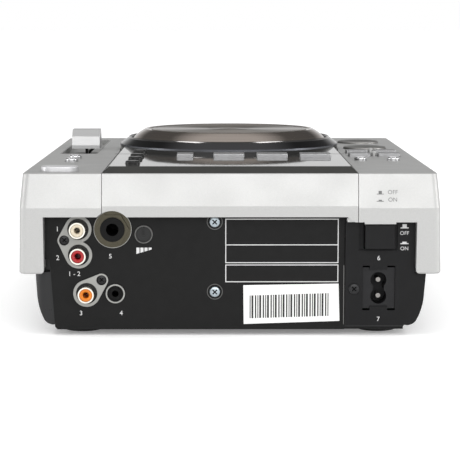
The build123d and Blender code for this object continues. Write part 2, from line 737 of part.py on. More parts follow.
# ---------------------------------------------------------------- lower case
def hull_profile():
    """Round-bottomed section of the tub, as a face in XZ."""
    def at(side, place):
        return (side * (hull_half - place[0]), place[1])

    floor = (hull_floor_in, hull_floor_z)
    with BuildLine(Plane.XZ) as outline:
        Line((hull_half, shelf_top_z), (-hull_half, shelf_top_z))
        for side in (-1, 1):
            Line(at(side, (0, shelf_top_z)), at(side, hull_knee))
            ThreePointArc(at(side, hull_knee), at(side, hull_bend), at(side, hull_heel))
            ThreePointArc(at(side, hull_heel), at(side, hull_toe), at(side, hull_rim))
            Line(at(side, hull_rim), at(side, floor))
        Line(at(-1, floor), at(1, floor))
    return make_face(outline.line)


def hull_envelope():
    """A block round the tub, with its front edges and its rear edge at +X rounded."""
    box = block(-hull_half, hull_half, hull_front_y, hull_rear_y, hull_floor_z, shelf_top_z)
    front = box.faces().sort_by(Axis.Y)[0].edges().sort_by(Axis.Z)[:3]
    box = fillet(front, hull_end_round)
    rear = box.faces().sort_by(Axis.Y)[-1].edges().sort_by(Axis.X)[-1]
    return fillet(rear, hull_rear_round)


def make_tub():
    length = hull_rear_y - hull_front_y
    outside = Pos(0, hull_rear_y, 0) * extrude(hull_profile(), amount=length)
    outside &= hull_envelope()
    inner = offset(hull_profile(), amount=-hull_wall)
    hollow = Pos(0, hull_rear_y - hull_wall, 0) * extrude(inner, amount=length - 2 * hull_wall)
    hull = outside - hollow
    mouth = bay_half - bay_wall
    hull -= block(-mouth, mouth, hull_front_y + hull_wall, hull_rear_y - hull_wall,
                  skirt_z - past, shelf_top_z + past)
    opening = bay_half - plate_foot_in
    hull -= block(-opening, opening, hull_rear_y - hull_wall - past, hull_rear_y + past,
                  hull_inside_z, shelf_top_z + past)
    for side in (-1, 1):
        wall_x = sorted((side * mouth, side * bay_half))
        hull += block(*wall_x, hull_front_y, hull_rear_y, skirt_z, power_bay_top_z)
    hull -= block(bay_half - plate_notch[0], bay_half + past, hull_rear_y - notch_depth,
                  hull_rear_y + past, skirt_z, plate_notch[1])
    for x, y in main_posts:
        hull += rod_z(x, y, hull_floor_z, main_board_z, post_radius)
        hull -= rod_z(x, y, hull_floor_z - past, main_board_z - blind_end, screw_bore)
    for x, y in frame_posts:
        hull += rod_z(x, y, hull_floor_z, frame_z[0], post_radius)
    for x, z in (plate_screw_at[1], power_screw_at):
        hull += block(x - post_radius, x + post_radius, hull_rear_y - boss_depth,
                      hull_rear_y, hull_floor_z, z + post_radius)
        hull -= rod_y(x, z, hull_rear_y - boss_depth - past, hull_rear_y + past, screw_bore)
    pieces["lower_chassis"] = hull

    feet = [rod_z(sx * foot_x, sy * foot_y, 0, base_z, foot_radius)
            for sx in (-1, 1) for sy in (-1, 1)]
    pieces["rubber_feet"] = Compound(
        children=[fillet(foot.edges().sort_by(Axis.Z)[0], foot_edge) for foot in feet])


# ---------------------------------------------------------------- rear plate, power panel
def make_rear():
    edge_x = bay_half - plate_gap
    notch_x = bay_half - plate_notch[0]
    foot_edge_x = bay_half - plate_foot_in
    notch_spring = plate_notch[1] - plate_notch[2]
    wall = slab([(power_x, base_z), (foot_edge_x - plate_bevel, base_z),
                 (foot_edge_x, base_z + plate_bevel), (notch_x, notch_spring),
                 (notch_x, plate_notch[1]), (edge_x, plate_notch[1]),
                 (edge_x, bay_top_z + ledge), (power_x - power_step[0], bay_top_z + ledge),
                 (power_x - power_step[0], power_bay_top_z - clearance),
                 (power_x, power_bay_top_z - clearance)], hull_rear_y, plate_y)
    wall += block(notch_x, notch_x + plate_notch[2], hull_rear_y, plate_y, notch_spring,
                  plate_notch[1])
    wall -= rod_y(notch_x + plate_notch[2], notch_spring, hull_rear_y - past, plate_y + past,
                  plate_notch[2])
    base = block(-hull_floor_half, hull_floor_half, hull_front_y + hull_end_round, hull_rear_y,
                 base_z, hull_floor_z)
    for (x, z), radius in ring_holes():
        wall -= rod_y(x, z, hull_rear_y - past, plate_y + past, radius + ring_fit)
    for place, screw in phono_webs():
        wall -= web(place, screw, ring_fit, hull_rear_y - past, plate_y + past)
    for x, z in plate_screw_at:
        wall -= rod_y(x, z, hull_rear_y - past, plate_y + past, screw_hole)
    for x, y in main_posts:
        base -= rod_z(x, y, base_z - past, hull_floor_z + past, screw_hole)
    pieces["rear_plate"] = Compound(children=[wall, base])

    edge = power_x - panel_gap
    step_z = skirt_z - clearance
    below = Pos(0, power_face_y, 0) * extrude(hull_profile(), amount=power_face_y - hull_rear_y)
    panel = below & block(-width, edge, 0, depth, power_foot_z, step_z)
    panel += block(-edge_x, edge, hull_rear_y, power_face_y, step_z - past,
                   power_bay_top_z - clearance)
    key_x, key_z = power_key_at
    lip_half = power_key_size[0] / 2 + clearance
    key_half = power_key_size[1] / 2 + clearance
    panel -= block(key_x - lip_half, key_x + lip_half, hull_rear_y - past, power_face_y + past,
                   key_z - key_half, power_bay_top_z)
    panel -= block(key_x - power_well[0], key_x + power_well[1], power_face_y - power_well[3],
                   power_face_y + past, key_z - power_key_size[1] / 2 - power_well[2],
                   power_bay_top_z)
    panel -= block(inlet_x[0] - ring_fit, inlet_x[1] + ring_fit, hull_rear_y - past,
                   power_face_y + past, inlet_z[0] - ring_fit, inlet_z[1] + ring_fit)
    for low, high in inlet_tabs():
        panel += block(inlet_pin_x - inlet_tab[0], inlet_pin_x + inlet_tab[0], hull_rear_y,
                       power_face_y, low, high)
    panel -= rod_y(*power_screw_at, hull_rear_y - past, power_face_y + past, screw_hole)
    pieces["power_panel"] = panel


def inlet_tabs():
    """Lower and upper end of the panel's two tabs that reach into the mains inlet."""
    return ((inlet_z[0] - sink, inlet_z[0] + inlet_tab[1]),
            (inlet_z[1] - inlet_tab[1], inlet_z[1] + sink))


def phono_webs():
    """Each phono socket with the screw that holds its block."""
    return ((left_audio_at, audio_screw_at), (right_audio_at, audio_screw_at),
            (digital_at, digital_screw_at))


def web(place, screw, spread, y0, y1):
    """A phono socket's disc and its screw's ring, joined by their common tangents."""
    big = Pos(*place) * Circle(phono_ring_radius + spread)
    small = Pos(*screw) * Circle(small_ring_radius + spread)
    outline = make_hull(big.edges() + small.edges())
    return Plane.XZ.offset(-y1) * extrude(outline, amount=y1 - y0)


def ring_holes():
    """Place and radius of the other socket bodies that show through the rear plate."""
    return [(phones_at, phones_collar_radius), (control_at, control_ring_radius),
            (volume_at, volume_ring_radius)]


# ---------------------------------------------------------------- sockets
def phono_block(corners, phonos, screw):
    """A moulded block with a raised ring round each phono socket and round its screw."""
    ring_top = plate_y + ring_rise
    seat_y = hull_rear_y - phono_seat
    body = block(corners[0], corners[1], hull_rear_y - phono_block_depth, hull_rear_y,
                 corners[2], corners[3])
    x, z = screw
    body += rod_y(x, z, seat_y, hull_rear_y, small_ring_radius)
    for place in phonos:
        body += web(place, screw, 0, hull_rear_y - past, ring_top)
    for x, z in phonos:
        body -= rod_y(x, z, hull_rear_y, ring_top + past, phono_ring_radius - phono_ring_wall)
        body -= rod_y(x, z, seat_y, hull_rear_y + past, phono_shell_radius + ring_fit)
    body -= rod_y(*screw, hull_rear_y, ring_top + past, small_ring_radius - small_ring_wall)
    return body - rod_y(*screw, seat_y - past, hull_rear_y + past, screw_bore)


def make_sockets():
    phonos = (left_audio_at, right_audio_at, digital_at)
    audio = phono_block((left_audio_at[0] - phono_block_half, left_audio_at[0] +
                         phono_block_half, right_audio_at[1] - phono_block_half,
                         left_audio_at[1] + phono_ring_radius - sink),
                        phonos[:2], audio_screw_at)
    digital = phono_block((digital_at[0] - phono_block_half, digital_at[0] +
                           phono_block_half, digital_at[1] - phono_block_half,
                           digital_at[1] + phono_block_half), phonos[2:], digital_screw_at)
    pieces["phono_blocks"] = Compound(children=[audio, digital])
    seat_y = hull_rear_y - phono_seat
    end_y = plate_y + phono_length
    shell_in = phono_shell_radius - phono_shell_wall
    shells = [tube_y(x, z, seat_y, end_y, phono_shell_radius, shell_in) for x, z in phonos]
    pieces["phono_shells"] = Compound(children=shells)
    cores = [rod_y(x, z, seat_y, end_y - phono_set_back, shell_in - running_fit) -
             rod_y(x, z, end_y - phono_pin_depth, end_y + past, phono_pin_radius)
             for x, z in phonos]
    pieces["phono_insulators"] = Compound(children=cores)

    x, z = phones_at
    jack = block(x - phones_body[0] / 2, x + phones_body[0] / 2,
                 hull_rear_y - phones_body[1], hull_rear_y,
                 z - phones_body[2] / 2, z + phones_body[2] / 2)
    collar_y = plate_y + phones_washer + phones_nut + phones_collar_rise
    jack += rod_y(x, z, hull_rear_y - past, collar_y, phones_collar_radius)
    jack -= rod_y(x, z, collar_y - phones_depth, collar_y + past, phones_bore)
    pieces["phones_jack"] = jack
    washer = tube_y(x, z, plate_y, plate_y + phones_washer, phones_washer_radius,
                    phones_collar_radius + ring_fit)
    washer = fillet(washer.edges().group_by(Axis.Y)[-1].sort_by(SortBy.LENGTH)[-1], screw_edge)
    hexagon = facing_rear(x, plate_y + phones_washer, z) * RegularPolygon(
        phones_nut_flats / 2, 6, major_radius=False)
    nut = extrude(hexagon, amount=phones_nut)
    nut -= rod_y(x, z, plate_y, collar_y + past, phones_collar_radius + ring_fit)
    pieces["phones_nut"] = Compound(children=[washer, nut])

    x, z = control_at
    jack = block(x - control_body / 2, x + control_body / 2,
                 hull_rear_y - control_depth - socket_back, hull_rear_y,
                 z - control_body / 2, z + control_body / 2)
    jack += rod_y(x, z, hull_rear_y - past, plate_y + ring_rise, control_ring_radius)
    collar = tube_y(x, z, plate_y, plate_y + ring_rise + past,
                    control_ring_radius - control_ring_wall, control_bore + control_bore_wall)
    jack -= collar
    jack -= rod_y(x, z, plate_y - control_depth, plate_y + 2 * past, control_bore)
    pieces["control_jack"] = jack

    x, z = volume_at
    bush_y = hull_rear_y - volume_bush
    pot = block(x - volume_body / 2, x + volume_body / 2, bush_y - volume_pot_depth,
                bush_y, z - volume_body / 2, z + volume_body / 2)
    pot += rod_y(x, z, bush_y - past, hull_rear_y, volume_ring_radius + volume_bush_wall)
    pot += rod_y(x, z, hull_rear_y - past, plate_y + ring_rise, volume_ring_radius)
    pot -= rod_y(x, z, bush_y, plate_y + 2 * past, volume_ring_radius - volume_ring_wall)
    pot -= rod_y(x, z, bush_y - volume_shaft, bush_y + past, volume_shaft_radius + running_fit)
    pieces["volume_pot"] = pot
    knob = rod_y(x, z, bush_y + clearance, plate_y - seat_gap, volume_radius)
    knob += rod_y(x, z, bush_y - volume_shaft + clearance, bush_y + past, volume_shaft_radius)
    knob -= block(x - volume_mark / 2, x + volume_mark / 2, plate_y - volume_mark,
                  plate_y, z - volume_mark / 2, z + volume_radius)
    pieces["volume_knob"] = knob


def make_power():
    inlet_face = power_face_y - inlet_set_back
    inlet_foot = power_board_y + board
    inlet = block(*inlet_x, inlet_foot, inlet_face, inlet_z[0] + inlet_corner,
                  inlet_z[1] - inlet_corner)
    notch_half = inlet_tab[0] + ring_fit
    for low, high in inlet_tabs():
        inlet -= block(inlet_pin_x - notch_half, inlet_pin_x + notch_half, hull_rear_y - clearance,
                       inlet_face + past, low - ring_fit, high + ring_fit)
    floor_y = inlet_face - socket_depth
    inlet -= block(*[inlet_pin_x + side * inlet_waist for side in (-1, 1)], floor_y,
                   inlet_face + past, *inlet_pin_z)
    pins = []
    for z in inlet_pin_z:
        inlet -= rod_y(inlet_pin_x, z, floor_y, inlet_face + past, inlet_lobe_radius)
        inlet -= rod_y(inlet_pin_x, z, inlet_foot, floor_y + past, inlet_pin_radius + press_fit)
        pins.append(rod_y(inlet_pin_x, z, inlet_foot, inlet_face - inlet_pin_set_back, inlet_pin_radius))
    pieces["ac_inlet"] = inlet
    pieces["ac_pins"] = Compound(children=pins)

    key_x, key_z = power_key_at
    width_x, height_z = power_key_size
    inner_y = hull_rear_y - power_key_depth
    face_y = power_face_y + power_key_rise
    plan = facing_rear(key_x, inner_y, key_z) * RectangleRounded(width_x, height_z, key_corner)
    key = extrude(plan, amount=face_y - inner_y)
    key = fillet(key.faces().sort_by(Axis.Y)[-1].edges(), power_key_edge)
    pieces["power_button"] = key

    switch_y = inner_y - power_key_travel - clearance
    supply = block(*power_board_x, power_board_y, power_board_y + board, *power_board_z)
    supply += block(key_x - width_x / 2, key_x + width_x / 2, power_board_y + sink,
                    switch_y, key_z - height_z / 2, key_z + height_z / 2)
    supply += block(key_x - transformer_half, key_x + transformer_half,
                    power_board_y - transformer_depth, power_board_y + sink, *transformer_z)
    pieces["power_board"] = supply


# ---------------------------------------------------------------- front fascia
def make_fascia():
    inner_y = hull_front_y
    fascia_y = inner_y - fascia_sheet
    fascia = block(-bay_half + ring_fit, bay_half - ring_fit, fascia_y, inner_y, skirt_z,
                   bay_top_z + ledge)
    fascia -= block(-slot_half, slot_half, fascia_y - past, inner_y + past,
                    disc_z - slot_height / 2, disc_z + slot_height / 2)
    fascia -= rod_y(eject_pin_x, disc_z, fascia_y - past, inner_y + past, eject_pin_radius)
    pieces["front_fascia"] = fascia
    lips = [block(-slot_half - felt_margin, slot_half + felt_margin, inner_y, inner_y + felt, *reach)
            for reach in ((disc_z + lip_gap / 2, disc_z + slot_height / 2 + felt_margin),
                          (disc_z - slot_height / 2 - felt_margin, disc_z - lip_gap / 2))]
    pieces["dust_curtain"] = Compound(children=lips)


# ---------------------------------------------------------------- disc drive
def make_drive():
    x_wall = frame_half - frame_sheet
    low, high = frame_z
    frame = block(-frame_half, frame_half, *frame_y, low, low + frame_sheet)
    frame -= rod_z(0, spindle_y, low - past, low + frame_sheet + past, motor_radius + clearance)
    for side in (-1, 1):
        wall_x = sorted((side * x_wall, side * frame_half))
        frame += block(*wall_x, *frame_y, low, high)
    top = block(-frame_half, frame_half, *frame_y, high - frame_sheet, high)
    frame += top - rod_z(0, spindle_y, high - frame_sheet - past, high + past, clamp_radius)
    plate_top = low + frame_sheet
    rail_z = plate_top + rail_height
    near_x = rail_start
    for y in (spindle_y - rail_offset, spindle_y + rail_offset):
        for x0, x1 in ((near_x, near_x + bracket), (x_wall - bracket, x_wall)):
            frame += block(x0, x1, y - rail_block, y + rail_block, plate_top, rail_z + rail_block)
            frame -= rod_x(y, rail_z, x0 - past, x1 + past, rail_radius + press_fit)
    screw_y = spindle_y + rail_offset + lead_offset
    screw_z = plate_top + lead_height
    for x0, x1 in ((near_x, near_x + bracket), (x_wall - bracket, x_wall)):
        frame += block(x0, x1, screw_y - lead_block, screw_y + lead_block, plate_top,
                       screw_z + lead_cap)
        frame -= rod_x(screw_y, screw_z, x0 - past, x_wall, lead_radius + running_fit)
    roller_z = disc_z - roller_radius - clearance
    for side in (-1, 1):
        wall_x = sorted((side * (x_wall - past), side * (frame_half + past)))
        frame -= rod_x(roller_y, roller_z, *wall_x, roller_shaft + running_fit)
    pieces["drive_frame"] = frame

    rails = [rod_x(y, rail_z, near_x, x_wall, rail_radius)
             for y in (spindle_y - rail_offset, spindle_y + rail_offset)]
    pieces["guide_rails"] = Compound(children=rails)
    screw_end = x_wall - lead_end_gap
    pieces["lead_screw"] = rod_x(screw_y, screw_z, near_x + lead_end_gap, screw_end, lead_radius)

    roller_half = frame_half - roller_end
    roller = rod_x(roller_y, roller_z, -roller_half, roller_half, roller_radius)
    roller += rod_x(roller_y, roller_z, -frame_half, frame_half, roller_shaft)
    roller += rod_x(roller_y, roller_z, frame_half - roller_gear_in[0],
                    frame_half - roller_gear_in[1], roller_gear)
    pieces["loading_roller"] = roller

    motor_top = plate_top + motor_rise
    motor = rod_z(0, spindle_y, low - motor_drop, motor_top, motor_radius)
    motor += rod_z(0, spindle_y, plate_top, plate_top + motor_flange, motor_flange_radius)
    motor += rod_z(0, spindle_y, motor_top - past, disc_z - shaft_drop, motor_shaft_radius)
    pieces["spindle_motor"] = motor
    table_z = motor_top + axial_gap
    seat_z = disc_z - disc_half
    table = rod_z(0, spindle_y, table_z, seat_z, turntable_radius)
    table += Pos(0, spindle_y, seat_z) * extrude(Circle(disc_cone_radius),
                                                 amount=disc_cone_rise, taper=20)
    table -= rod_z(0, spindle_y, table_z - past, disc_z - shaft_drop + clearance,
                   motor_shaft_radius + running_fit)
    pieces["turntable"] = table

    sled_z = plate_top + clearance
    sled = block(sled_x, sled_x + sled_size[0], spindle_y - sled_size[1] / 2,
                 spindle_y + sled_size[1] / 2, sled_z, sled_z + sled_size[2])
    sled += rod_z(lens_x, spindle_y, sled_z, disc_z - lens_drop, lens_radius)
    sled += block(sled_x + lead_block, sled_x + sled_size[0] - lead_block,
                  spindle_y + sled_size[1] / 2 - past, screw_y + lead_block,
                  sled_z, screw_z + lead_cap)
    for y in (spindle_y - rail_offset, spindle_y + rail_offset):
        sled -= rod_x(y, rail_z, sled_x - past, sled_x + sled_size[0] + past,
                      rail_radius + running_fit)
    sled -= rod_x(screw_y, screw_z, sled_x - past, sled_x + sled_size[0] + past,
                  lead_radius + running_fit)
    pieces["pickup_sled"] = sled

    motors = []
    for x1, y in ((near_x, screw_y), (frame_half - loading_motor_end, loading_motor_y)):
        can = rod_x(y, screw_z, x1 - feed_motor_length, x1, feed_motor_radius)
        motors.append(can)
    pieces["feed_motors"] = Compound(children=motors)


# ---------------------------------------------------------------- boards
def make_boards():
    top = block(*control_board_x, *control_board_y, control_board_z, control_top_z)
    top += block(control_board_x[1] - past, control_wing_x, *control_wing_y,
                 control_board_z, control_top_z)
    for name, plan, (x, y), surface, rise, rounding in deck_buttons():
        half = switch_size / 2
        top += block(x - half, x + half, y - half, y + half, control_top_z - sink,
                     control_top_z + switch_height)
    pieces["control_board"] = top
    lower = block(*main_x, *main_y, main_board_z, main_top_z)
    for in_x, in_y, length, breadth, height in main_chips:
        x = main_x[0] + in_x
        y = main_y[0] + in_y
        lower += block(x, x + length, y, y + breadth, main_top_z - sink, main_top_z + height)
    pieces["main_board"] = lower


# ---------------------------------------------------------------- fasteners
def rear_screw(at, face_y, head_radius, head_height):
    x, z = at
    head = rod_y(x, z, face_y, face_y + head_height, head_radius)
    head = fillet(head.edges().sort_by(Axis.Y)[-1], screw_edge)
    for turn in (0, 90):
        bar = Rot(0, turn, 0) * Box(head_radius * 1.1, 2 * cross_depth, head_radius * 0.28)
        head -= Pos(x, face_y + head_height, z) * bar
    return head + rod_y(x, z, hull_rear_y - screw_length, face_y, screw_shank_radius)


def make_screws():
    screws = [rear_screw(at, plate_y, screw_head_radius, screw_head[0]) for at in plate_screw_at]
    screws.append(rear_screw(power_screw_at, power_face_y, screw_head_radius, screw_head[1]))
    for at in (audio_screw_at, digital_screw_at):
        screws.append(rear_screw(at, hull_rear_y, sunk_head_radius, screw_head[1]))
    for x, y in main_posts:
        head = rod_z(x, y, base_z - screw_head[0], base_z, screw_head_radius)
        shank = rod_z(x, y, base_z - sink, main_board_z - 2 * blind_end, screw_shank_radius)
        screws.append(head + shank)
    pieces["case_screws"] = Compound(children=screws)


make_covers()
make_panel()
make_jog()
make_buttons()
make_slider()
make_tub()
make_rear()
make_sockets()
make_power()
make_fascia()
make_drive()
make_boards()
make_screws()

os.makedirs("parts", exist_ok=True)
for name, piece in pieces.items():
    export_step(piece, f"parts/{name}.step")
print(len(pieces), "pieces")
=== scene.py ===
import json
import math

import bmesh
import bpy
from mathutils import Matrix, Vector


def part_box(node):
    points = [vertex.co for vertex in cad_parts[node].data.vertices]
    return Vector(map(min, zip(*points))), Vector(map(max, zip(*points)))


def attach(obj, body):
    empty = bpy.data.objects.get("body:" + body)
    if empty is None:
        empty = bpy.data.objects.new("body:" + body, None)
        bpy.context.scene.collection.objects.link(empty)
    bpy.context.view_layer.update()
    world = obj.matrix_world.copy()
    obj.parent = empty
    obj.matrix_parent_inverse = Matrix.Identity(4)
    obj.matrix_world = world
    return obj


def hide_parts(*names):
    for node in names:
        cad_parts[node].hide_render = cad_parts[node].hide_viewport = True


# Looks of a compact CD player for disc jockeys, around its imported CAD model.
# Places and sizes on the object are in millimetres in the model's own frame, and MM turns them
# into metres. The studio's places and sizes and the depths of bumps are in metres.
MM = 0.001

# Camera, worked out from the perspective of the top and the rear face.
PHOTO_PIXELS = 460
FOCAL_PIXELS = 1715.0
SENSOR_WIDTH = 36.0
CAMERA_AT = (3.5, 1020.6, 160.0)
CAMERA_TILT = 6.785          # degrees below the horizon
CAMERA_TURN = 0.227          # degrees, so that it still aims at the middle of the rear face
CLIP_START = 0.05            # metres

# Sockets and screws on the rear, as (X, Z).
LEFT_AUDIO = (78.6, 55.6)
RIGHT_AUDIO = (78.4, 42.2)
DIGITAL = (74.4, 22.1)
AUDIO_SCREW = (85.8, 49.8)
DIGITAL_SCREW = (66.7, 29.0)
PLATE_SCREWS = ((7.9, 59.4), (7.9, 22.9))
POWER_SCREW = (-64.3, 24.6)
PHONES = (60.7, 55.7)
CONTROL = (59.6, 21.9)
VOLUME = (44.7, 52.9)

# Screws under the steel base, as (X, Y), and the height of their seats.
BASE_SCREWS = ((-52.0, 30.0), (-52.0, 120.0), (44.0, 30.0), (44.0, 120.0))
BASE_SEAT_Z = 3.1

PLATE_Y = 139.5              # rear face of the rear plate
POWER_Y = 141.0              # rear face of the power panel
DECK_Z = 85.0
CREASE_Y = 148.0             # foot of the leaning band, its rearmost line
CREASE_Z = 67.4
EDGE_Y = 145.0               # head of the leaning band, at the deck's edge
PANEL_Z = 88.35
JOG_Y = -33.0
PRINT = 0.03                 # thickness of printed ink

# Right and up of a face, as its onlooker sees them.
REAR = ((-1, 0, 0), (0, 0, 1))
BAND = ((-1, 0, 0), (0, -0.168, 0.986))
DECK = ((1, 0, 0), (0, 1, 0))

# Nodes whose finish differs from that of their slot.
OWN_FINISH = {"phono_blocks": "socket_trim_bore_shade", "tempo_tray": "tray_grey",
              "tempo_fader": "slot_black", "ac_inlet": "inlet_black",
              "eject_button": "key_bright", "tempo_knob": "knob_silver_stem_shade",
              "lower_chassis": "tub_black", "control_jack": "jack_black",
              "phones_jack": "jack_black", "ac_pins": "pin_metal_shaded"}

NOISE_SPAN = (0.3, 0.7)      # most of a noise's values lie between these
FINE = 0.00001               # depth of a fine grain, in metres
FINEST = 0.000005

# Moulded plastics, lacquers and inks, by the arguments of plain_plastic.
PLASTICS = {
    "black_moulding": dict(colour=(0.008, 0.008, 0.0085), roughness=0.42, specular=0.14),
    "black_steel": dict(colour=(0.0075, 0.0075, 0.0075), roughness=0.5, grain=2200, depth=FINE,
                        specular=0.14),
    "key_black": dict(colour=(0.010, 0.010, 0.010), roughness=0.35, grain=600, depth=FINE,
                      specular=0.3),
    "screw_black": dict(colour=(0.012, 0.012, 0.013), roughness=0.3, grain=900, depth=FINE,
                        specular=0.3),
    "cream_plastic": dict(colour=(0.60, 0.53, 0.41), roughness=0.3, grain=500, depth=FINE),
    "red_plastic": dict(colour=(0.32, 0.006, 0.008), roughness=0.3, grain=500, depth=FINE),
    "orange_plastic": dict(colour=(0.62, 0.17, 0.002), roughness=0.3, grain=500, depth=FINE),
    "socket_plastic": dict(colour=(0.045, 0.045, 0.045), roughness=0.45),
    "slot_black": dict(colour=(0.008, 0.008, 0.008), roughness=0.8, specular=0.05),
    "tray_grey": dict(colour=(0.23, 0.23, 0.225), roughness=0.55, specular=0.3),
    "tub_black": dict(colour=(0.010, 0.010, 0.0108), roughness=0.30, grain=1800, depth=FINE,
                      specular=0.35),
    "jack_black": dict(colour=(0.006, 0.006, 0.006), roughness=0.45, grain=900, depth=FINE,
                       specular=0.1),
    "inlet_black": dict(colour=(0.012, 0.012, 0.013), roughness=0.5, grain=900, depth=FINE,
                        specular=0.2),
    "ring_grey": dict(colour=(0.30, 0.30, 0.285), roughness=0.4, grain=900, depth=FINE),
    "ring_dim": dict(colour=(0.12, 0.12, 0.115), roughness=0.4, grain=900, depth=FINE),
    "ring_dark": dict(colour=(0.06, 0.06, 0.057), roughness=0.4, grain=900, depth=FINE),
    "rubber": dict(colour=(0.022, 0.022, 0.022), roughness=0.75, grain=900, depth=0.00004),
    "display_glass": dict(colour=(0.03, 0.05, 0.055), roughness=0.1, grain=300, depth=FINE),
    "ink_white": dict(colour=(0.62, 0.62, 0.62), roughness=0.5, grain=900, depth=FINE),
    "ink_mark": dict(colour=(0.12, 0.12, 0.12), roughness=0.5, grain=900, depth=FINE),
    "ink_black": dict(colour=(0.012, 0.012, 0.012), roughness=0.5, grain=900, depth=FINE),
}

# Plated and bare metals, by the arguments of plated.
METALS = {
    "key_silver": dict(colour=(0.35, 0.35, 0.355), roughness=0.36, edge=0.8),
    "key_chrome": dict(colour=(0.70, 0.70, 0.71), roughness=0.14, edge=0.8),
    "dish_silver": dict(colour=(0.33, 0.325, 0.315), roughness=0.42, edge=0.6),
    "bead_metal": dict(colour=(0.26, 0.25, 0.245), roughness=0.13, edge=0.8),
    "steel": dict(colour=(0.60, 0.60, 0.60), roughness=0.3),
    "screw_steel": dict(colour=(0.36, 0.41, 0.44), roughness=0.28),
    "zinc": dict(colour=(0.62, 0.62, 0.60), roughness=0.4),
    "nickel": dict(colour=(0.78, 0.75, 0.68), roughness=0.2),
    # Painted shade: the AC pins' nickel, darkened for the dark surroundings they reflect in the
    # inlet.
    "pin_metal_shaded": dict(colour=(0.24, 0.23, 0.22), roughness=0.22),
    "brass": dict(colour=(0.070, 0.064, 0.047), roughness=0.2),
}

# Pan head of a screw from its edge to its middle, as shares of its radius and height, and the
# cross recess in it.
PAN_HEAD = ((1.0, 0.45), (0.9, 0.78), (0.68, 0.96), (0.4, 1.0), (0.0, 1.0))
SHANK_RADIUS = 1.45
CROSS_LENGTH = 1.15          # share of the head's radius
CROSS_WIDTH = 0.24           # share of the head's radius
CROSS_DEPTH = 1.3            # share of the head's height, half of it above the head
RECESS_SHARE = 0.6           # faces within this share of the radius and height are recess, coloured dark as painted shade
HEAD_RADIUS = 2.8
HEAD_HEIGHT = 1.3
SHANK = 6.0
SOCKET_HEAD_RADIUS = 2.55
SOCKET_SHANK = 5.0
FLAT_HEAD_HEIGHT = 1.2       # of the power panel's and the sockets' screws
SOCKET_SINK = 1.2            # seat of the sockets' screws, below the plate's rear face

# Lamps: name, place, width and height, and watts.
LAMP_TARGET = (0, 0, 0.05)
LAMPS = (("rear_softbox", (-0.4, 3.0, 1.2), (3.2, 1.5), 43),
         ("left_softbox", (-2.4, 0.5, 0.35), (0.7, 0.9), 14),
         ("right_softbox", (2.4, 0.5, 0.35), (0.7, 0.9), 11),
         ("left_overhead", (-1.0, 0.5, 1.64), (0.8, 0.35), 4),
         ("right_overhead", (1.0, 0.5, 1.64), (0.8, 0.35), 4))
FLOOR_HALF = 60.0
FLOOR_GLOW = 0.2


# ---------------------------------------------------------------- node helpers
def start_material(name, roughness, metallic=0.0, coat=0.0, specular=0.5, edge=1.0):
    """A principled material. The edge value darkens a metal's or gloss's grazing reflection."""
    material = bpy.data.materials.new(name)
    material.use_nodes = True
    tree = material.node_tree
    shader = tree.nodes["Principled BSDF"]
    shader.inputs["Roughness"].default_value = roughness
    shader.inputs["Metallic"].default_value = metallic
    shader.inputs["Coat Weight"].default_value = coat
    shader.inputs["Specular IOR Level"].default_value = specular
    shader.inputs["Specular Tint"].default_value = (edge, edge, edge, 1)
    return material, tree, shader


def add_noise(tree, scale, detail=3.0, stretch=(1.0, 1.0, 1.0)):
    """Noise over the object's own coordinates. The scale is in cycles per metre."""
    coordinates = tree.nodes.new("ShaderNodeTexCoord")
    mapping = tree.nodes.new("ShaderNodeMapping")
    mapping.inputs["Scale"].default_value = stretch
    noise = tree.nodes.new("ShaderNodeTexNoise")
    noise.inputs["Scale"].default_value = scale
    noise.inputs["Detail"].default_value = detail
    tree.links.new(coordinates.outputs["Object"], mapping.inputs["Vector"])
    tree.links.new(mapping.outputs["Vector"], noise.inputs["Vector"])
    return noise.outputs["Fac"]


def own_coordinate(tree, axis):
    """The object's own X, Y or Z, in metres."""
    coordinates = tree.nodes.new("ShaderNodeTexCoord")
    parts = tree.nodes.new("ShaderNodeSeparateXYZ")
    tree.links.new(coordinates.outputs["Object"], parts.inputs["Vector"])
    return parts.outputs[axis]


def rise_between(tree, coordinate, start, end):
    """0 up to one place, 1 from another, and even between. The places are in millimetres."""
    rise = tree.nodes.new("ShaderNodeMapRange")
    rise.inputs["From Min"].default_value = start * MM
    rise.inputs["From Max"].default_value = end * MM
    tree.links.new(coordinate, rise.inputs["Value"])
    return rise.outputs["Result"]


def blend_colour(tree, shader, factor, low, high, start=0.0, end=1.0):
    """Base colour from one colour at the factor's start to another at its end."""
    blend = tree.nodes.new("ShaderNodeValToRGB")
    first, last = blend.color_ramp.elements
    first.position, last.position = start, end
    first.color, last.color = (*low, 1), (*high, 1)
    tree.links.new(factor, blend.inputs["Fac"])
    tree.links.new(blend.outputs["Color"], shader.inputs["Base Color"])


def blend_roughness(tree, shader, factor, low, high, start=0.0, end=1.0):
    """Roughness from one value at the factor's start to another at its end."""
    blend = tree.nodes.new("ShaderNodeMapRange")
    blend.inputs["From Min"].default_value = start
    blend.inputs["From Max"].default_value = end
    blend.inputs["To Min"].default_value = low
    blend.inputs["To Max"].default_value = high
    tree.links.new(factor, blend.inputs["Value"])
    tree.links.new(blend.outputs["Result"], shader.inputs["Roughness"])


def vary_colour(tree, shader, noise, colour, spread):
    """Base colour between a darker and a lighter shade, by the noise."""
    darker = [part * (1 - spread) for part in colour]
    lighter = [part * (1 + spread) for part in colour]
    blend_colour(tree, shader, noise, darker, lighter, *NOISE_SPAN)


def vary_roughness(tree, shader, noise, low, high):
    """Roughness between two values, by the noise."""
    blend_roughness(tree, shader, noise, low, high, *NOISE_SPAN)


def add_bump(tree, shader, height, depth, strength):
    """Bump from a height output. The depth is in metres."""
    bump = tree.nodes.new("ShaderNodeBump")
    bump.inputs["Distance"].default_value = depth
    bump.inputs["Strength"].default_value = strength
    tree.links.new(height, bump.inputs["Height"])
    tree.links.new(bump.outputs["Normal"], shader.inputs["Normal"])


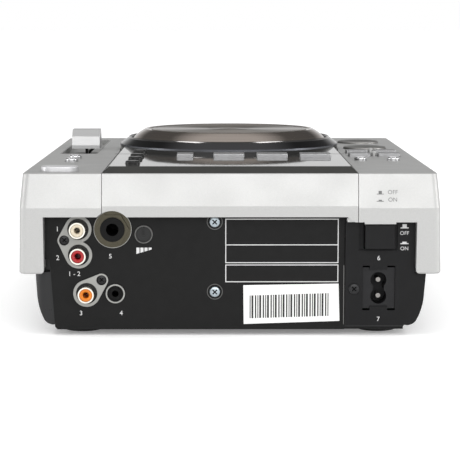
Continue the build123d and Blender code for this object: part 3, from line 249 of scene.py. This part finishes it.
# ---------------------------------------------------------------- materials
def plain_plastic(name, colour, roughness, grain=1400, depth=0.00003, specular=0.5):
    """Moulded plastic with a fine grain."""
    material, tree, shader = start_material(name, roughness, specular=specular)
    vary_colour(tree, shader, add_noise(tree, scale=180), colour, spread=0.07)
    vary_roughness(tree, shader, add_noise(tree, scale=240), roughness * 0.9, roughness * 1.1)
    add_bump(tree, shader, add_noise(tree, scale=grain), depth, strength=0.6)
    return material


def plated(name, colour, roughness, edge=1.0):
    """Plated or bare metal with fine rub marks."""
    material, tree, shader = start_material(name, roughness, metallic=1.0, edge=edge)
    vary_colour(tree, shader, add_noise(tree, scale=300), colour, spread=0.06)
    vary_roughness(tree, shader, add_noise(tree, scale=700, detail=4.0),
                   roughness * 0.8, roughness * 1.25)
    add_bump(tree, shader, add_noise(tree, scale=1200), FINE, strength=0.4)
    return material


def silver_paint(name, colour, roughness, edge):
    """Silver paint on plastic, with fine metal flake."""
    material, tree, shader = start_material(name, roughness, metallic=0.5, edge=edge)
    vary_colour(tree, shader, add_noise(tree, scale=2600, detail=2.0), colour, spread=0.05)
    vary_roughness(tree, shader, add_noise(tree, scale=60), roughness * 0.9, roughness * 1.1)
    add_bump(tree, shader, add_noise(tree, scale=900, detail=4.0), 2 * FINE, strength=0.5)
    return material


def satin_silver(name, level, foot):
    """Satin silver plating on plastic, with painted shade: black below the foot's height, for
    the shade on the stem under the knob.
    """
    material, tree, shader = start_material(name, roughness=0.3, metallic=0.5, edge=0.6)
    above_stem_shade = tree.nodes.new("ShaderNodeMath")
    above_stem_shade.operation = "GREATER_THAN"
    above_stem_shade.inputs[1].default_value = foot * MM
    tree.links.new(own_coordinate(tree, "Z"), above_stem_shade.inputs[0])
    # Painted shade: black below the foot, for the shade on the stem under the knob.
    blend_colour(tree, shader, above_stem_shade.outputs["Value"], (0.008, 0.008, 0.008),
                 (level, level, level))
    vary_roughness(tree, shader, add_noise(tree, scale=260, detail=4.0), low=0.27, high=0.33)
    add_bump(tree, shader, add_noise(tree, scale=1600), FINEST, strength=0.4)
    return material


def socket_trim_bore_shade():
    """Grey moulding, light on its raised trim, with painted shade: black in its bores below the
    trim.
    """
    material, tree, shader = start_material("socket_trim_bore_shade", roughness=0.4, specular=0.3)
    raised = rise_between(tree, own_coordinate(tree, "Y"), PLATE_Y + 0.35, PLATE_Y + 0.45)
    # Painted shade: black below the trim's face, for the shade that falls in the bores.
    blend_colour(tree, shader, raised, (0.012, 0.012, 0.012), (0.31, 0.31, 0.295))
    vary_roughness(tree, shader, add_noise(tree, scale=240), low=0.36, high=0.46)
    add_bump(tree, shader, add_noise(tree, scale=900), FINE, strength=0.6)
    return material


def gloss_panel():
    """Dark tinted gloss panel with a trace of dust and fine rub marks."""
    material, tree, shader = start_material("gloss_panel", roughness=0.04, specular=0.12)
    vary_colour(tree, shader, add_noise(tree, scale=40), (0.036, 0.036, 0.034), spread=0.10)
    rub = add_noise(tree, scale=350, detail=5.0, stretch=(1.0, 0.15, 1.0))
    vary_roughness(tree, shader, rub, low=0.03, high=0.05)
    return material


def wheel_rings(tree, rings):
    """Noise that changes only with the distance from the wheel's axis."""
    coordinates = tree.nodes.new("ShaderNodeTexCoord")
    centre = tree.nodes.new("ShaderNodeVectorMath")
    centre.operation = "SUBTRACT"
    centre.inputs[1].default_value = (0, JOG_Y * MM, 0)
    flat = tree.nodes.new("ShaderNodeVectorMath")
    flat.operation = "MULTIPLY"
    flat.inputs[1].default_value = (1, 1, 0)
    radius = tree.nodes.new("ShaderNodeVectorMath")
    radius.operation = "LENGTH"
    noise = tree.nodes.new("ShaderNodeTexNoise")
    noise.noise_dimensions = "1D"
    noise.inputs["Scale"].default_value = rings
    noise.inputs["Detail"].default_value = 4.0
    tree.links.new(coordinates.outputs["Object"], centre.inputs[0])
    tree.links.new(centre.outputs["Vector"], flat.inputs[0])
    tree.links.new(flat.outputs["Vector"], radius.inputs[0])
    tree.links.new(radius.outputs["Value"], noise.inputs["W"])
    return noise.outputs["Fac"]


def spun_metal(name, colour, roughness, rings, edge):
    """Metal turned on a lathe: fine rings round the wheel and a stretched highlight."""
    material, tree, shader = start_material(name, roughness, metallic=1.0, edge=edge)
    shader.inputs["Anisotropic"].default_value = 0.85
    shader.inputs["Anisotropic Rotation"].default_value = 0.25
    tangent = tree.nodes.new("ShaderNodeTangent")
    tangent.direction_type = "RADIAL"
    tangent.axis = "Z"
    tree.links.new(tangent.outputs["Tangent"], shader.inputs["Tangent"])
    noise = wheel_rings(tree, rings)
    vary_colour(tree, shader, noise, colour, spread=0.06)
    vary_roughness(tree, shader, noise, roughness * 0.9, roughness * 1.1)
    add_bump(tree, shader, noise, FINE, strength=0.3)
    return material


def collar_plating():
    """Dark plating on the collar, dull round its foot, where a painted reflection makes it
    paler and bluish.
    """
    material, tree, shader = start_material("jog_ring", roughness=0.16, metallic=1.0, edge=0.8)
    rise = rise_between(tree, own_coordinate(tree, "Z"), PANEL_Z + 0.2, PANEL_Z + 1.0)
    # Painted reflection: paler, bluish colour round the foot for the slope's reflection of the
    # studio.
    blend_colour(tree, shader, rise, (0.135, 0.14, 0.155), (0.062, 0.061, 0.064))
    blend_roughness(tree, shader, rise, low=0.42, high=0.15)
    add_bump(tree, shader, add_noise(tree, scale=1200), FINEST, strength=0.4)
    return material


def circuit_board():
    """Green lacquer over copper tracks."""
    material, tree, shader = start_material("circuit_board", roughness=0.4, coat=0.3)
    tracks = add_noise(tree, scale=500, detail=0.0, stretch=(1.0, 0.2, 1.0))
    vary_colour(tree, shader, tracks, (0.03, 0.14, 0.06), spread=0.35)
    add_bump(tree, shader, tracks, 0.00003, strength=0.5)
    return material


def felt():
    """Black felt with loose fibres."""
    material, tree, shader = start_material("felt", roughness=0.95)
    fibres = add_noise(tree, scale=2500, detail=5.0)
    vary_colour(tree, shader, fibres, (0.016, 0.016, 0.017), spread=0.4)
    shader.inputs["Sheen Weight"].default_value = 0.4
    add_bump(tree, shader, fibres, 0.0001, strength=0.8)
    return material


def paper():
    """White label with a faint fibre."""
    material, tree, shader = start_material("paper", roughness=0.55)
    vary_colour(tree, shader, add_noise(tree, scale=900), (0.80, 0.80, 0.79), spread=0.03)
    add_bump(tree, shader, add_noise(tree, scale=1500), FINE, strength=0.5)
    return material


def make_materials():
    """Every material, by the name of its slot or of its own finish."""
    materials = {name: plain_plastic(name, **look) for name, look in PLASTICS.items()}
    materials.update({name: plated(name, **look) for name, look in METALS.items()})
    materials.update({
        "silver_paint": silver_paint("silver_paint", (0.44, 0.44, 0.434), roughness=0.42,
                                     edge=0.5),
        "key_bright": silver_paint("key_bright", (0.62, 0.62, 0.63), roughness=0.3, edge=0.35),
        "knob_silver_stem_shade": satin_silver("knob_silver_stem_shade", level=0.45, foot=DECK_Z + 0.4),
        "jog_metal": spun_metal("jog_metal", (0.40, 0.35, 0.315), roughness=0.14, rings=900,
                                edge=0.7),
        "jog_top": spun_metal("jog_top", (0.31, 0.28, 0.25), roughness=0.32, rings=2500,
                              edge=0.7),
        "jog_ring": collar_plating(),
        "panel_gloss": gloss_panel(),
        "socket_trim_bore_shade": socket_trim_bore_shade(),
        "green_board": circuit_board(),
        "felt": felt(),
        "paper": paper(),
    })
    return materials


# ---------------------------------------------------------------- mesh helpers
def add_piece(name, mesh, material, body):
    """A piece of the visual model, on its body and with its slot."""
    mesh.materials.append(material)
    piece = bpy.data.objects.new(name, mesh)
    bpy.context.scene.collection.objects.link(piece)
    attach(piece, body)
    return piece


def add_mesh(name, mesh_data, material, body):
    """A piece made of a bmesh, which is used up."""
    mesh = bpy.data.meshes.new(name)
    bmesh.ops.recalc_face_normals(mesh_data, faces=mesh_data.faces)
    mesh_data.to_mesh(mesh)
    mesh_data.free()
    return add_piece(name, mesh, material, body)


def turn_mesh(profile, place, axis, segments=64):
    """A closed profile of (radius, height) points turned about an axis through a place."""
    shape = bmesh.new()
    place = Vector(place)
    axis = Vector(axis)
    side = axis.orthogonal().normalized()
    loops = []
    for step in range(segments):
        out = Matrix.Rotation(2 * math.pi * step / segments, 3, axis) @ side
        loops.append([shape.verts.new((place + out * r + axis * h) * MM) for r, h in profile])
    count = len(profile)
    for step in range(segments):
        near, far = loops[step], loops[(step + 1) % segments]
        for index in range(count):
            after = (index + 1) % count
            if profile[index][0] == 0 and profile[after][0] == 0:
                continue
            shape.faces.new([near[index], near[after], far[after], far[index]])
    bmesh.ops.remove_doubles(shape, verts=shape.verts, dist=1e-7)
    return shape


def smooth(piece, degrees=35):
    """Smooth shading, but with edges above an angle kept sharp."""
    piece.data.shade_smooth()
    piece.data.set_sharp_from_angle(angle=math.radians(degrees))
    return piece


def printed(name, shapes, origin, plane, material, body):
    """Printed shapes of (right, up) points on a flat face, as one thin mesh."""
    right, up = (Vector(direction) for direction in plane)
    normal = right.cross(up)
    ink = bmesh.new()
    for shape in shapes:
        levels = []
        for height in (0.0, PRINT):
            level = [ink.verts.new((Vector(origin) + right * u + up * v + normal * height) * MM)
                     for u, v in shape]
            levels.append(level)
            ink.faces.new(level)
        count = len(shape)
        for index in range(count):
            after = (index + 1) % count
            ink.faces.new([levels[0][index], levels[0][after], levels[1][after],
                           levels[1][index]])
    return add_mesh(name, ink, material, body)


def lettering(name, text, size, origin, plane, material, body):
    """Generic lettering, such as ON, OFF or a number, centred on a place on a flat face."""
    curve = bpy.data.curves.new(name, "FONT")
    curve.body = text
    curve.size = size * MM
    curve.align_x = "CENTER"
    curve.align_y = "CENTER"
    curve.extrude = PRINT * MM / 2
    source = bpy.data.objects.new(name + "_source", curve)
    bpy.context.scene.collection.objects.link(source)
    graph = bpy.context.evaluated_depsgraph_get()
    mesh = bpy.data.meshes.new_from_object(source.evaluated_get(graph))
    bpy.data.objects.remove(source)
    right, up = (Vector(direction) for direction in plane)
    normal = right.cross(up)
    spread = Matrix((right, up, normal)).transposed().to_4x4()
    spread.translation = (Vector(origin) + normal * PRINT / 2) * MM
    mesh.transform(spread)
    mesh.materials.clear()
    return add_piece(name, mesh, material, body)


def rectangle(u, v, width, height):
    """Outline of a rectangle about its middle."""
    return [(u - width / 2, v - height / 2), (u + width / 2, v - height / 2),
            (u + width / 2, v + height / 2), (u - width / 2, v + height / 2)]


def frame_lines(u0, v0, u1, v1, line):
    """Four strips round a rectangle."""
    middle_u, middle_v = (u0 + u1) / 2, (v0 + v1) / 2
    return [rectangle(middle_u, v0, u1 - u0 + line, line),
            rectangle(middle_u, v1, u1 - u0 + line, line),
            rectangle(u0, middle_v, line, v1 - v0 - line),
            rectangle(u1, middle_v, line, v1 - v0 - line)]


# ---------------------------------------------------------------- CAD finish
def dress_cad(frame, materials):
    """Gives every CAD node the procedural material of its slot, or a finish of its own."""
    slots = {entry["node"]: entry["material_slot"] for entry in frame["record"]["subparts"]}
    slots.update(OWN_FINISH)
    for name, node in frame["nodes"].items():
        node.data.materials.clear()
        node.data.materials.append(materials[slots[name]])


# ---------------------------------------------------------------- rear pieces
def add_socket_rings(materials):
    """Light rims round the control, volume and phones sockets, and dimples round screws."""
    # Name, place, rise above the plate, outer radius, width and material.
    rings = (("control_ring", CONTROL, 0.6, 5.0, 0.75, "ring_grey"),
             ("volume_ring", VOLUME, 0.6, 4.65, 0.45, "ring_dim"),
             ("phones_ring", PHONES, 0.85, 9.85, 0.35, "ring_grey"),
             ("upper_dimple", PLATE_SCREWS[0], 0.0, 4.15, 0.5, "ring_dark"),
             ("lower_dimple", PLATE_SCREWS[1], 0.0, 4.15, 0.5, "ring_dark"))
    crest, crest_in = 0.1, 0.15          # height of the crest, and how far in it lies
    shoulder, shoulder_in = 0.06, 0.05   # the same for the rounded shoulder
    for name, (x, z), rise, radius, width, material in rings:
        inner = radius - width
        profile = [(inner, 0.0), (radius, 0.0), (radius - shoulder_in, shoulder),
                   (radius - crest_in, crest), (inner + crest_in, crest),
                   (inner + shoulder_in, shoulder)]
        shape = turn_mesh(profile, (x, PLATE_Y + rise, z), (0, 1, 0))
        smooth(add_mesh(name, shape, materials[material], "case"))


def add_insulators(materials):
    """Coloured centres of the three phono sockets, in place of the CAD node."""
    outer = 3.34
    hole = 1.6
    depth = 11.0
    edge = 0.3                   # bevel of the outer edge
    mouth = 0.5                  # bevel of the hole
    low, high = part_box("phono_insulators")
    back_y = low.y / MM
    reach = high.y / MM - back_y
    profile = [(0, 0), (outer, 0), (outer, reach - edge), (outer - edge, reach),
               (hole + mouth, reach), (hole, reach - mouth), (hole, reach - depth),
               (0, reach - depth)]
    for name, (x, z), colour in (("left_audio_insulator", LEFT_AUDIO, "cream_plastic"),
                                 ("right_audio_insulator", RIGHT_AUDIO, "red_plastic"),
                                 ("digital_insulator", DIGITAL, "orange_plastic")):
        shape = turn_mesh(profile, (x, back_y, z), (0, 1, 0))
        piece = smooth(add_mesh(name, shape, materials[colour], "case"))
        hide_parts("phono_insulators")


def cross_cutter(name, place, axis, radius, height):
    """Two crossed bars at the top of a screw's head, to be cut out of it."""
    cross = bmesh.new()
    up = axis.orthogonal().normalized()
    for direction in (up, axis.cross(up)):
        across = axis.cross(direction)
        arm = bmesh.ops.create_cube(cross, size=1.0)["verts"]
        spread = Matrix((direction * radius * CROSS_LENGTH, across * radius * CROSS_WIDTH,
                         axis * height * CROSS_DEPTH)).transposed().to_4x4()
        spread.translation = Vector(place) + axis * height
        for vert in arm:
            vert.co = (spread @ vert.co) * MM
    mesh = bpy.data.meshes.new(name)
    cross.to_mesh(mesh)
    cross.free()
    cutter = bpy.data.objects.new(name, mesh)
    bpy.context.scene.collection.objects.link(cutter)
    return cutter


def phillips_screw(name, place, axis, radius, height, shank, material, recess):
    """A pan head with a cross recess, on a plain shank, the recess coloured dark as painted
    shade.
    """
    axis = Vector(axis)
    profile = [(0, 0), (0, -shank), (SHANK_RADIUS, -shank), (SHANK_RADIUS, 0), (radius, 0)]
    profile += [(radius * across, height * up) for across, up in PAN_HEAD]
    head = add_mesh(name, turn_mesh(profile, place, axis, segments=48), material, "case")
    cutter = cross_cutter(name + "_cross", place, axis, radius, height)
    cut = head.modifiers.new("cross", "BOOLEAN")
    cut.operation = "DIFFERENCE"
    cut.solver = "EXACT"
    cut.use_self = True
    cut.object = cutter
    graph = bpy.context.evaluated_depsgraph_get()
    finished = bpy.data.meshes.new_from_object(head.evaluated_get(graph))
    head.modifiers.clear()
    head.data = finished
    bpy.data.objects.remove(cutter)
    # Painted shade: faces deep in the cross recess get the dark recess material.
    finished.materials.append(recess)
    for face in finished.polygons:
        reach = face.center / MM - Vector(place)
        along = reach.dot(axis)
        aside = (reach - axis * along).length
        if 0 < along < height * RECESS_SHARE and aside < radius * RECESS_SHARE:
            face.material_index = len(finished.materials) - 1
    return smooth(head, degrees=30)


def add_screws(materials):
    """Screws of the plate, power panel, sockets and base, in place of the CAD node."""
    steel, black = materials["screw_steel"], materials["screw_black"]
    # Dark materials that paint shade into the screws' cross recesses.
    steel_recess_shade, black_recess_shade = materials["jack_black"], materials["slot_black"]
    rearward, down = (0, 1, 0), (0, 0, -1)
    screws = []
    for index, (x, z) in enumerate(PLATE_SCREWS):
        screws.append(phillips_screw(f"plate_screw_{index + 1}", (x, PLATE_Y, z), rearward,
                                     HEAD_RADIUS, HEAD_HEIGHT, SHANK, steel, steel_recess_shade))
    screws.append(phillips_screw("power_screw", (POWER_SCREW[0], POWER_Y, POWER_SCREW[1]),
                                 rearward, HEAD_RADIUS, FLAT_HEAD_HEIGHT, SHANK, black,
                                 black_recess_shade))
    for name, (x, z) in (("audio_screw", AUDIO_SCREW), ("digital_screw", DIGITAL_SCREW)):
        screws.append(phillips_screw(name, (x, PLATE_Y - SOCKET_SINK, z), rearward,
                                     SOCKET_HEAD_RADIUS, FLAT_HEAD_HEIGHT, SOCKET_SHANK, black,
                                     black_recess_shade))
    for index, (x, y) in enumerate(BASE_SCREWS):
        screws.append(phillips_screw(f"base_screw_{index + 1}", (x, y, BASE_SEAT_Z), down,
                                     HEAD_RADIUS, HEAD_HEIGHT, SHANK, black, black_recess_shade))
    for screw in screws:
        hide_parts("case_screws")


# ---------------------------------------------------------------- printing, and painted shadow and highlight strips
def add_plate_numbers(ink):
    """Plain numbers beside the sockets of the rear plate."""
    for name, text, size, (x, z) in (("left_number", "1", 3.6, (89.3, 55.6)),
                                     ("right_number", "2", 3.6, (89.3, 40.6)),
                                     ("audio_numbers", "1 - 2", 3.4, (80.8, 32.2)),
                                     ("digital_number", "3", 3.4, (77.5, 11.6)),
                                     ("control_number", "4", 3.4, (56.6, 11.6)),
                                     ("phones_number", "5", 3.4, (62.0, 41.4))):
        lettering(name, text, size, (x, PLATE_Y, z), REAR, ink, "case")


def add_volume_ramp(ink):
    """Four bars under the volume knob, each shorter than the one to its left."""
    left, right, top = -48.5, -46.9, 46.0
    left_foot, right_foot = 42.7, 43.2
    pitch, climb = 2.1, 0.62
    bars = []
    for step in range(4):
        along, up = pitch * step, climb * step
        bars.append([(left + along, left_foot + up), (right + along, right_foot + up),
                     (right + along, top), (left + along, top)])
    printed("volume_ramp", bars, (0, PLATE_Y, 0), REAR, ink, "case")


def add_empty_fields(ink):
    """Empty ruled fields where a nameplate would be."""
    line = 0.45
    left, right = -2.2, 56.0
    fields = frame_lines(left, 38.1, right, 60.8, line)
    fields.append(rectangle(26.9, 47.4, 57.8, line))
    fields += frame_lines(left, 28.1, right, 36.9, line)
    printed("empty_fields", fields, (0, PLATE_Y, 0), REAR, ink, "case")


def add_label(label_paper):
    """Blank white label, stuck on a little askew."""
    corners = [(6.9, 26.3), (7.1, 5.9), (57.0, 7.5), (56.4, 27.1)]
    printed("rear_label", [corners], (0, PLATE_Y, 0), REAR, label_paper, "case")


def add_painted_seam_shadow(dark):
    """Painted shadow of the seam across the gloss panel, between the wheel and the loop keys: a
    dark strip laid on it.
    """
    seam = rectangle(0, 55.0, width=129.0, height=1.0)
    printed("panel_seam_shadow", [seam], (0, 0, PANEL_Z), DECK, dark, "case")


def add_label_bars(ink):
    """Plain bars on the label, in a regular round of widths and gaps."""
    widths, gaps = (0.5, 1.0, 0.7), (0.6, 0.45, 0.8)
    first, last = 10.2, 51.5
    middle, climb, height = 14.6, 0.03, 12.0
    bars = []
    place = first
    while place < last:
        width = widths[len(bars) % len(widths)]
        bars.append(rectangle(place + width / 2, middle + climb * place, width, height))
        place += width + gaps[len(bars) % len(gaps)]
    printed("label_bars", bars, (0, PLATE_Y + PRINT, 0), REAR, ink, "case")


def key_mark(u, line, key):
    """A key over a line. Both are given as middle height, width and thickness."""
    return [rectangle(u, *line), rectangle(u, *key)]


def band_y(z):
    """Depth of the leaning band's face at a height."""
    return CREASE_Y - (z - CREASE_Z) * (CREASE_Y - EDGE_Y) / (DECK_Z - CREASE_Z)


def add_band_print(ink):
    """OFF and ON with the power key's two marks, on the leaning band."""
    off_z, on_z = 75.4, 71.6
    for name, z, text in (("band_off", off_z, "OFF"), ("band_on", on_z, "ON")):
        lettering(name, text, 3.0, (-83.3, band_y(z), z), BAND, ink, "case")
    marks = key_mark(76.9, line=(-0.9, 3.7, 0.35), key=(0.0, 1.7, 1.5))
    marks += key_mark(76.9, line=(-4.6, 3.7, 0.35), key=(-4.15, 1.7, 0.7))
    printed("band_marks", marks, (0, band_y(off_z), off_z), BAND, ink, "case")


def add_painted_edge_highlight(ink):
    """Painted highlight on the rear plate's edge, beside the power panel: a pale strip printed
    on the plate.
    """
    edge = rectangle(59.1, 21.2, width=0.45, height=31.0)
    printed("plate_edge_highlight", [edge], (0, PLATE_Y, 0), REAR, ink, "case")


def add_panel_print(ink):
    """OFF, ON, the power key's marks and two plain numbers, on the power panel."""
    for name, z, text in (("panel_off", 53.6, "OFF"), ("panel_on", 45.6, "ON")):
        lettering(name, text, 2.7, (-90.2, POWER_Y, z), REAR, ink, "case")
    marks = key_mark(90.2, line=(56.4, 4.2, 0.5), key=(57.5, 2.2, 1.7))
    marks += key_mark(90.2, line=(48.2, 4.2, 0.5), key=(48.8, 2.2, 0.8))
    printed("panel_marks", marks, (0, POWER_Y, 0), REAR, ink, "case")
    for name, z, text in (("power_number", 40.6, "6"), ("inlet_number", 8.6, "7")):
        lettering(name, text, 3.4, (-77.0, POWER_Y, z), REAR, ink, "case")


def add_print(materials):
    """All printing: plain numbers, ON and OFF, generic marks and empty fields, and the strips
    of the seam's painted shadow and the plate edge's painted highlight.
    """
    add_plate_numbers(materials["ink_white"])
    add_volume_ramp(materials["ink_white"])
    add_empty_fields(materials["ink_white"])
    add_label(materials["paper"])
    # Painted shadow of the panel's seam, as a dark strip.
    add_painted_seam_shadow(materials["slot_black"])
    add_label_bars(materials["ink_black"])
    add_band_print(materials["ink_mark"])
    # Painted highlight on the plate's edge, as a pale strip.
    add_painted_edge_highlight(materials["ring_dim"])
    add_panel_print(materials["ink_white"])


# ---------------------------------------------------------------- jog wheel
def add_jog_top(materials):
    """Spun metal plate let into the top of the wheel, with two turned grooves."""
    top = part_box("jog_wheel")[1].z / MM
    rim = 47.4
    face = top - 0.15
    floor = top - 0.9
    groove = face - 0.14
    inner_groove = face - 0.2
    hub = face - 0.05
    profile = [(0, floor), (rim, floor), (rim, face - 0.12), (rim - 0.15, face),
               (rim - 1.6, face), (rim - 1.9, groove), (rim - 2.3, groove), (rim - 2.6, face),
               (13.0, face - 0.06), (12.6, inner_groove), (12.1, inner_groove), (11.7, hub),
               (0, hub)]
    shape = turn_mesh(profile, (0, JOG_Y, 0), (0, 0, 1), segments=180)
    piece = add_mesh("jog_top_plate", shape, materials["jog_top"], "jog")
    smooth(piece, degrees=25)


def add_collar_bead(materials):
    """Polished bead with a bevel, round the upper lip of the collar."""
    profile = [(60.6, 92.3), (61.85, 92.2), (61.8, 92.35), (61.2, 93.2), (61.05, 93.27),
               (60.7, 93.2), (60.6, 93.05)]
    shape = turn_mesh(profile, (0, JOG_Y, 0), (0, 0, 1), segments=180)
    piece = add_mesh("collar_bead", shape, materials["bead_metal"], "case")
    smooth(piece, degrees=25)


# ---------------------------------------------------------------- light, floor, camera
def add_lamp(name, place, size, power):
    """A soft rectangular lamp that faces the object."""
    light = bpy.data.lights.new(name, "AREA")
    light.shape = "RECTANGLE"
    light.size, light.size_y = size
    light.energy = power
    lamp = bpy.data.objects.new(name, light)
    lamp.location = place
    facing = Vector(LAMP_TARGET) - Vector(place)
    lamp.rotation_euler = facing.to_track_quat("-Z", "Y").to_euler()
    bpy.context.scene.collection.objects.link(lamp)


def seen_directly(tree):
    """1 for rays of the camera, and for those of mirrors and glass, and 0 for other light."""
    rays = tree.nodes.new("ShaderNodeLightPath")
    seen = rays.outputs["Is Camera Ray"]
    for ray in ("Is Glossy Ray", "Is Transmission Ray"):
        either = tree.nodes.new("ShaderNodeMath")
        either.operation = "MAXIMUM"
        tree.links.new(seen, either.inputs[0])
        tree.links.new(rays.outputs[ray], either.inputs[1])
        seen = either.outputs[0]
    return seen


def mirrored_studio(tree, ceiling, overhead):
    """What mirrors see: white round the horizon, then a darker ceiling, paler overhead."""
    lean = (0, -0.15, 1)         # so that the ceiling starts higher at the rear than in front
    white_until, ceiling_span, overhead_from = 0.30, (0.52, 0.84), 0.97
    direction = tree.nodes.new("ShaderNodeTexCoord")
    climb = tree.nodes.new("ShaderNodeVectorMath")
    climb.operation = "DOT_PRODUCT"
    climb.inputs[1].default_value = lean
    tree.links.new(direction.outputs["Generated"], climb.inputs[0])
    shade = tree.nodes.new("ShaderNodeValToRGB")
    ramp = shade.color_ramp
    ramp.elements[0].position = white_until
    ramp.elements[0].color = (1, 1, 1, 1)
    ramp.elements[1].position = overhead_from
    ramp.elements[1].color = (overhead, overhead, overhead, 1)
    for position in ceiling_span:
        ramp.elements.new(position).color = (ceiling, ceiling, ceiling, 1)
    tree.links.new(climb.outputs["Value"], shade.inputs["Fac"])
    return shade.outputs["Color"]


def add_world(level, ceiling, overhead):
    """Even light of one level on the object, white to the camera, and a studio to mirrors."""
    world = bpy.data.worlds.new("studio")
    bpy.context.scene.world = world
    world.use_nodes = True
    tree = world.node_tree
    background = tree.nodes["Background"]
    rays = tree.nodes.new("ShaderNodeLightPath")
    colour = tree.nodes.new("ShaderNodeMix")
    colour.data_type = "RGBA"
    colour.inputs["A"].default_value = (1, 1, 1, 1)
    tree.links.new(rays.outputs["Is Glossy Ray"], colour.inputs["Factor"])
    tree.links.new(mirrored_studio(tree, ceiling, overhead), colour.inputs["B"])
    tree.links.new(colour.outputs["Result"], background.inputs["Color"])
    strength = tree.nodes.new("ShaderNodeMapRange")
    strength.inputs["To Min"].default_value = level
    strength.inputs["To Max"].default_value = 1.0
    tree.links.new(seen_directly(tree), strength.inputs["Value"])
    tree.links.new(strength.outputs["Result"], background.inputs["Strength"])


def add_floor():
    """Plain pale floor under the object, which keeps its shadow."""
    shape = bmesh.new()
    corners = [shape.verts.new((sx * FLOOR_HALF, sy * FLOOR_HALF, 0))
               for sx, sy in ((-1, -1), (1, -1), (1, 1), (-1, 1))]
    shape.faces.new(corners)
    mesh = bpy.data.meshes.new("floor")
    shape.to_mesh(mesh)
    shape.free()
    material, tree, shader = start_material("floor", roughness=0.9)
    vary_colour(tree, shader, add_noise(tree, scale=3), (0.94, 0.94, 0.94), spread=0.005)
    glow = tree.nodes.new("ShaderNodeMath")
    glow.operation = "MULTIPLY"
    glow.inputs[1].default_value = FLOOR_GLOW
    tree.links.new(seen_directly(tree), glow.inputs[0])
    tree.links.new(glow.outputs["Value"], shader.inputs["Emission Strength"])
    mesh.materials.append(material)
    floor = bpy.data.objects.new("floor", mesh)
    bpy.context.scene.collection.objects.link(floor)


def add_studio():
    """World, lamps and floor."""
    add_world(level=0.92, ceiling=0.16, overhead=0.8)
    for name, place, size, power in LAMPS:
        add_lamp(name, place, size, power)
    add_floor()
    bpy.context.scene.view_settings.view_transform = "Standard"


def add_camera():
    """Camera at the photograph's viewing angle, behind the object."""
    data = bpy.data.cameras.new("camera")
    data.sensor_fit = "HORIZONTAL"
    data.sensor_width = SENSOR_WIDTH
    data.lens = SENSOR_WIDTH * FOCAL_PIXELS / PHOTO_PIXELS
    data.clip_start = CLIP_START
    camera = bpy.data.objects.new("camera", data)
    camera.location = Vector(CAMERA_AT) * MM
    camera.rotation_euler = (math.radians(90 - CAMERA_TILT), 0, math.radians(180 - CAMERA_TURN))
    bpy.context.scene.collection.objects.link(camera)
    bpy.context.scene.camera = camera


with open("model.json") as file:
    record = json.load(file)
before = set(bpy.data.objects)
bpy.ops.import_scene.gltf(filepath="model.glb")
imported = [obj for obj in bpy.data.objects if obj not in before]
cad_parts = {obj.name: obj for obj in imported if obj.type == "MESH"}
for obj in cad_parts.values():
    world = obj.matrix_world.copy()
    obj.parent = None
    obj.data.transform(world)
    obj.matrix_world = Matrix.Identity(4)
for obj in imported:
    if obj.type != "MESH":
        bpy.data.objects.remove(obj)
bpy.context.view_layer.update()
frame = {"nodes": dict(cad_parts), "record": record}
materials = make_materials()
add_camera()
dress_cad(frame, materials)
add_socket_rings(materials)
add_insulators(materials)
add_screws(materials)
add_print(materials)
add_jog_top(materials)
add_collar_bead(materials)
add_studio()
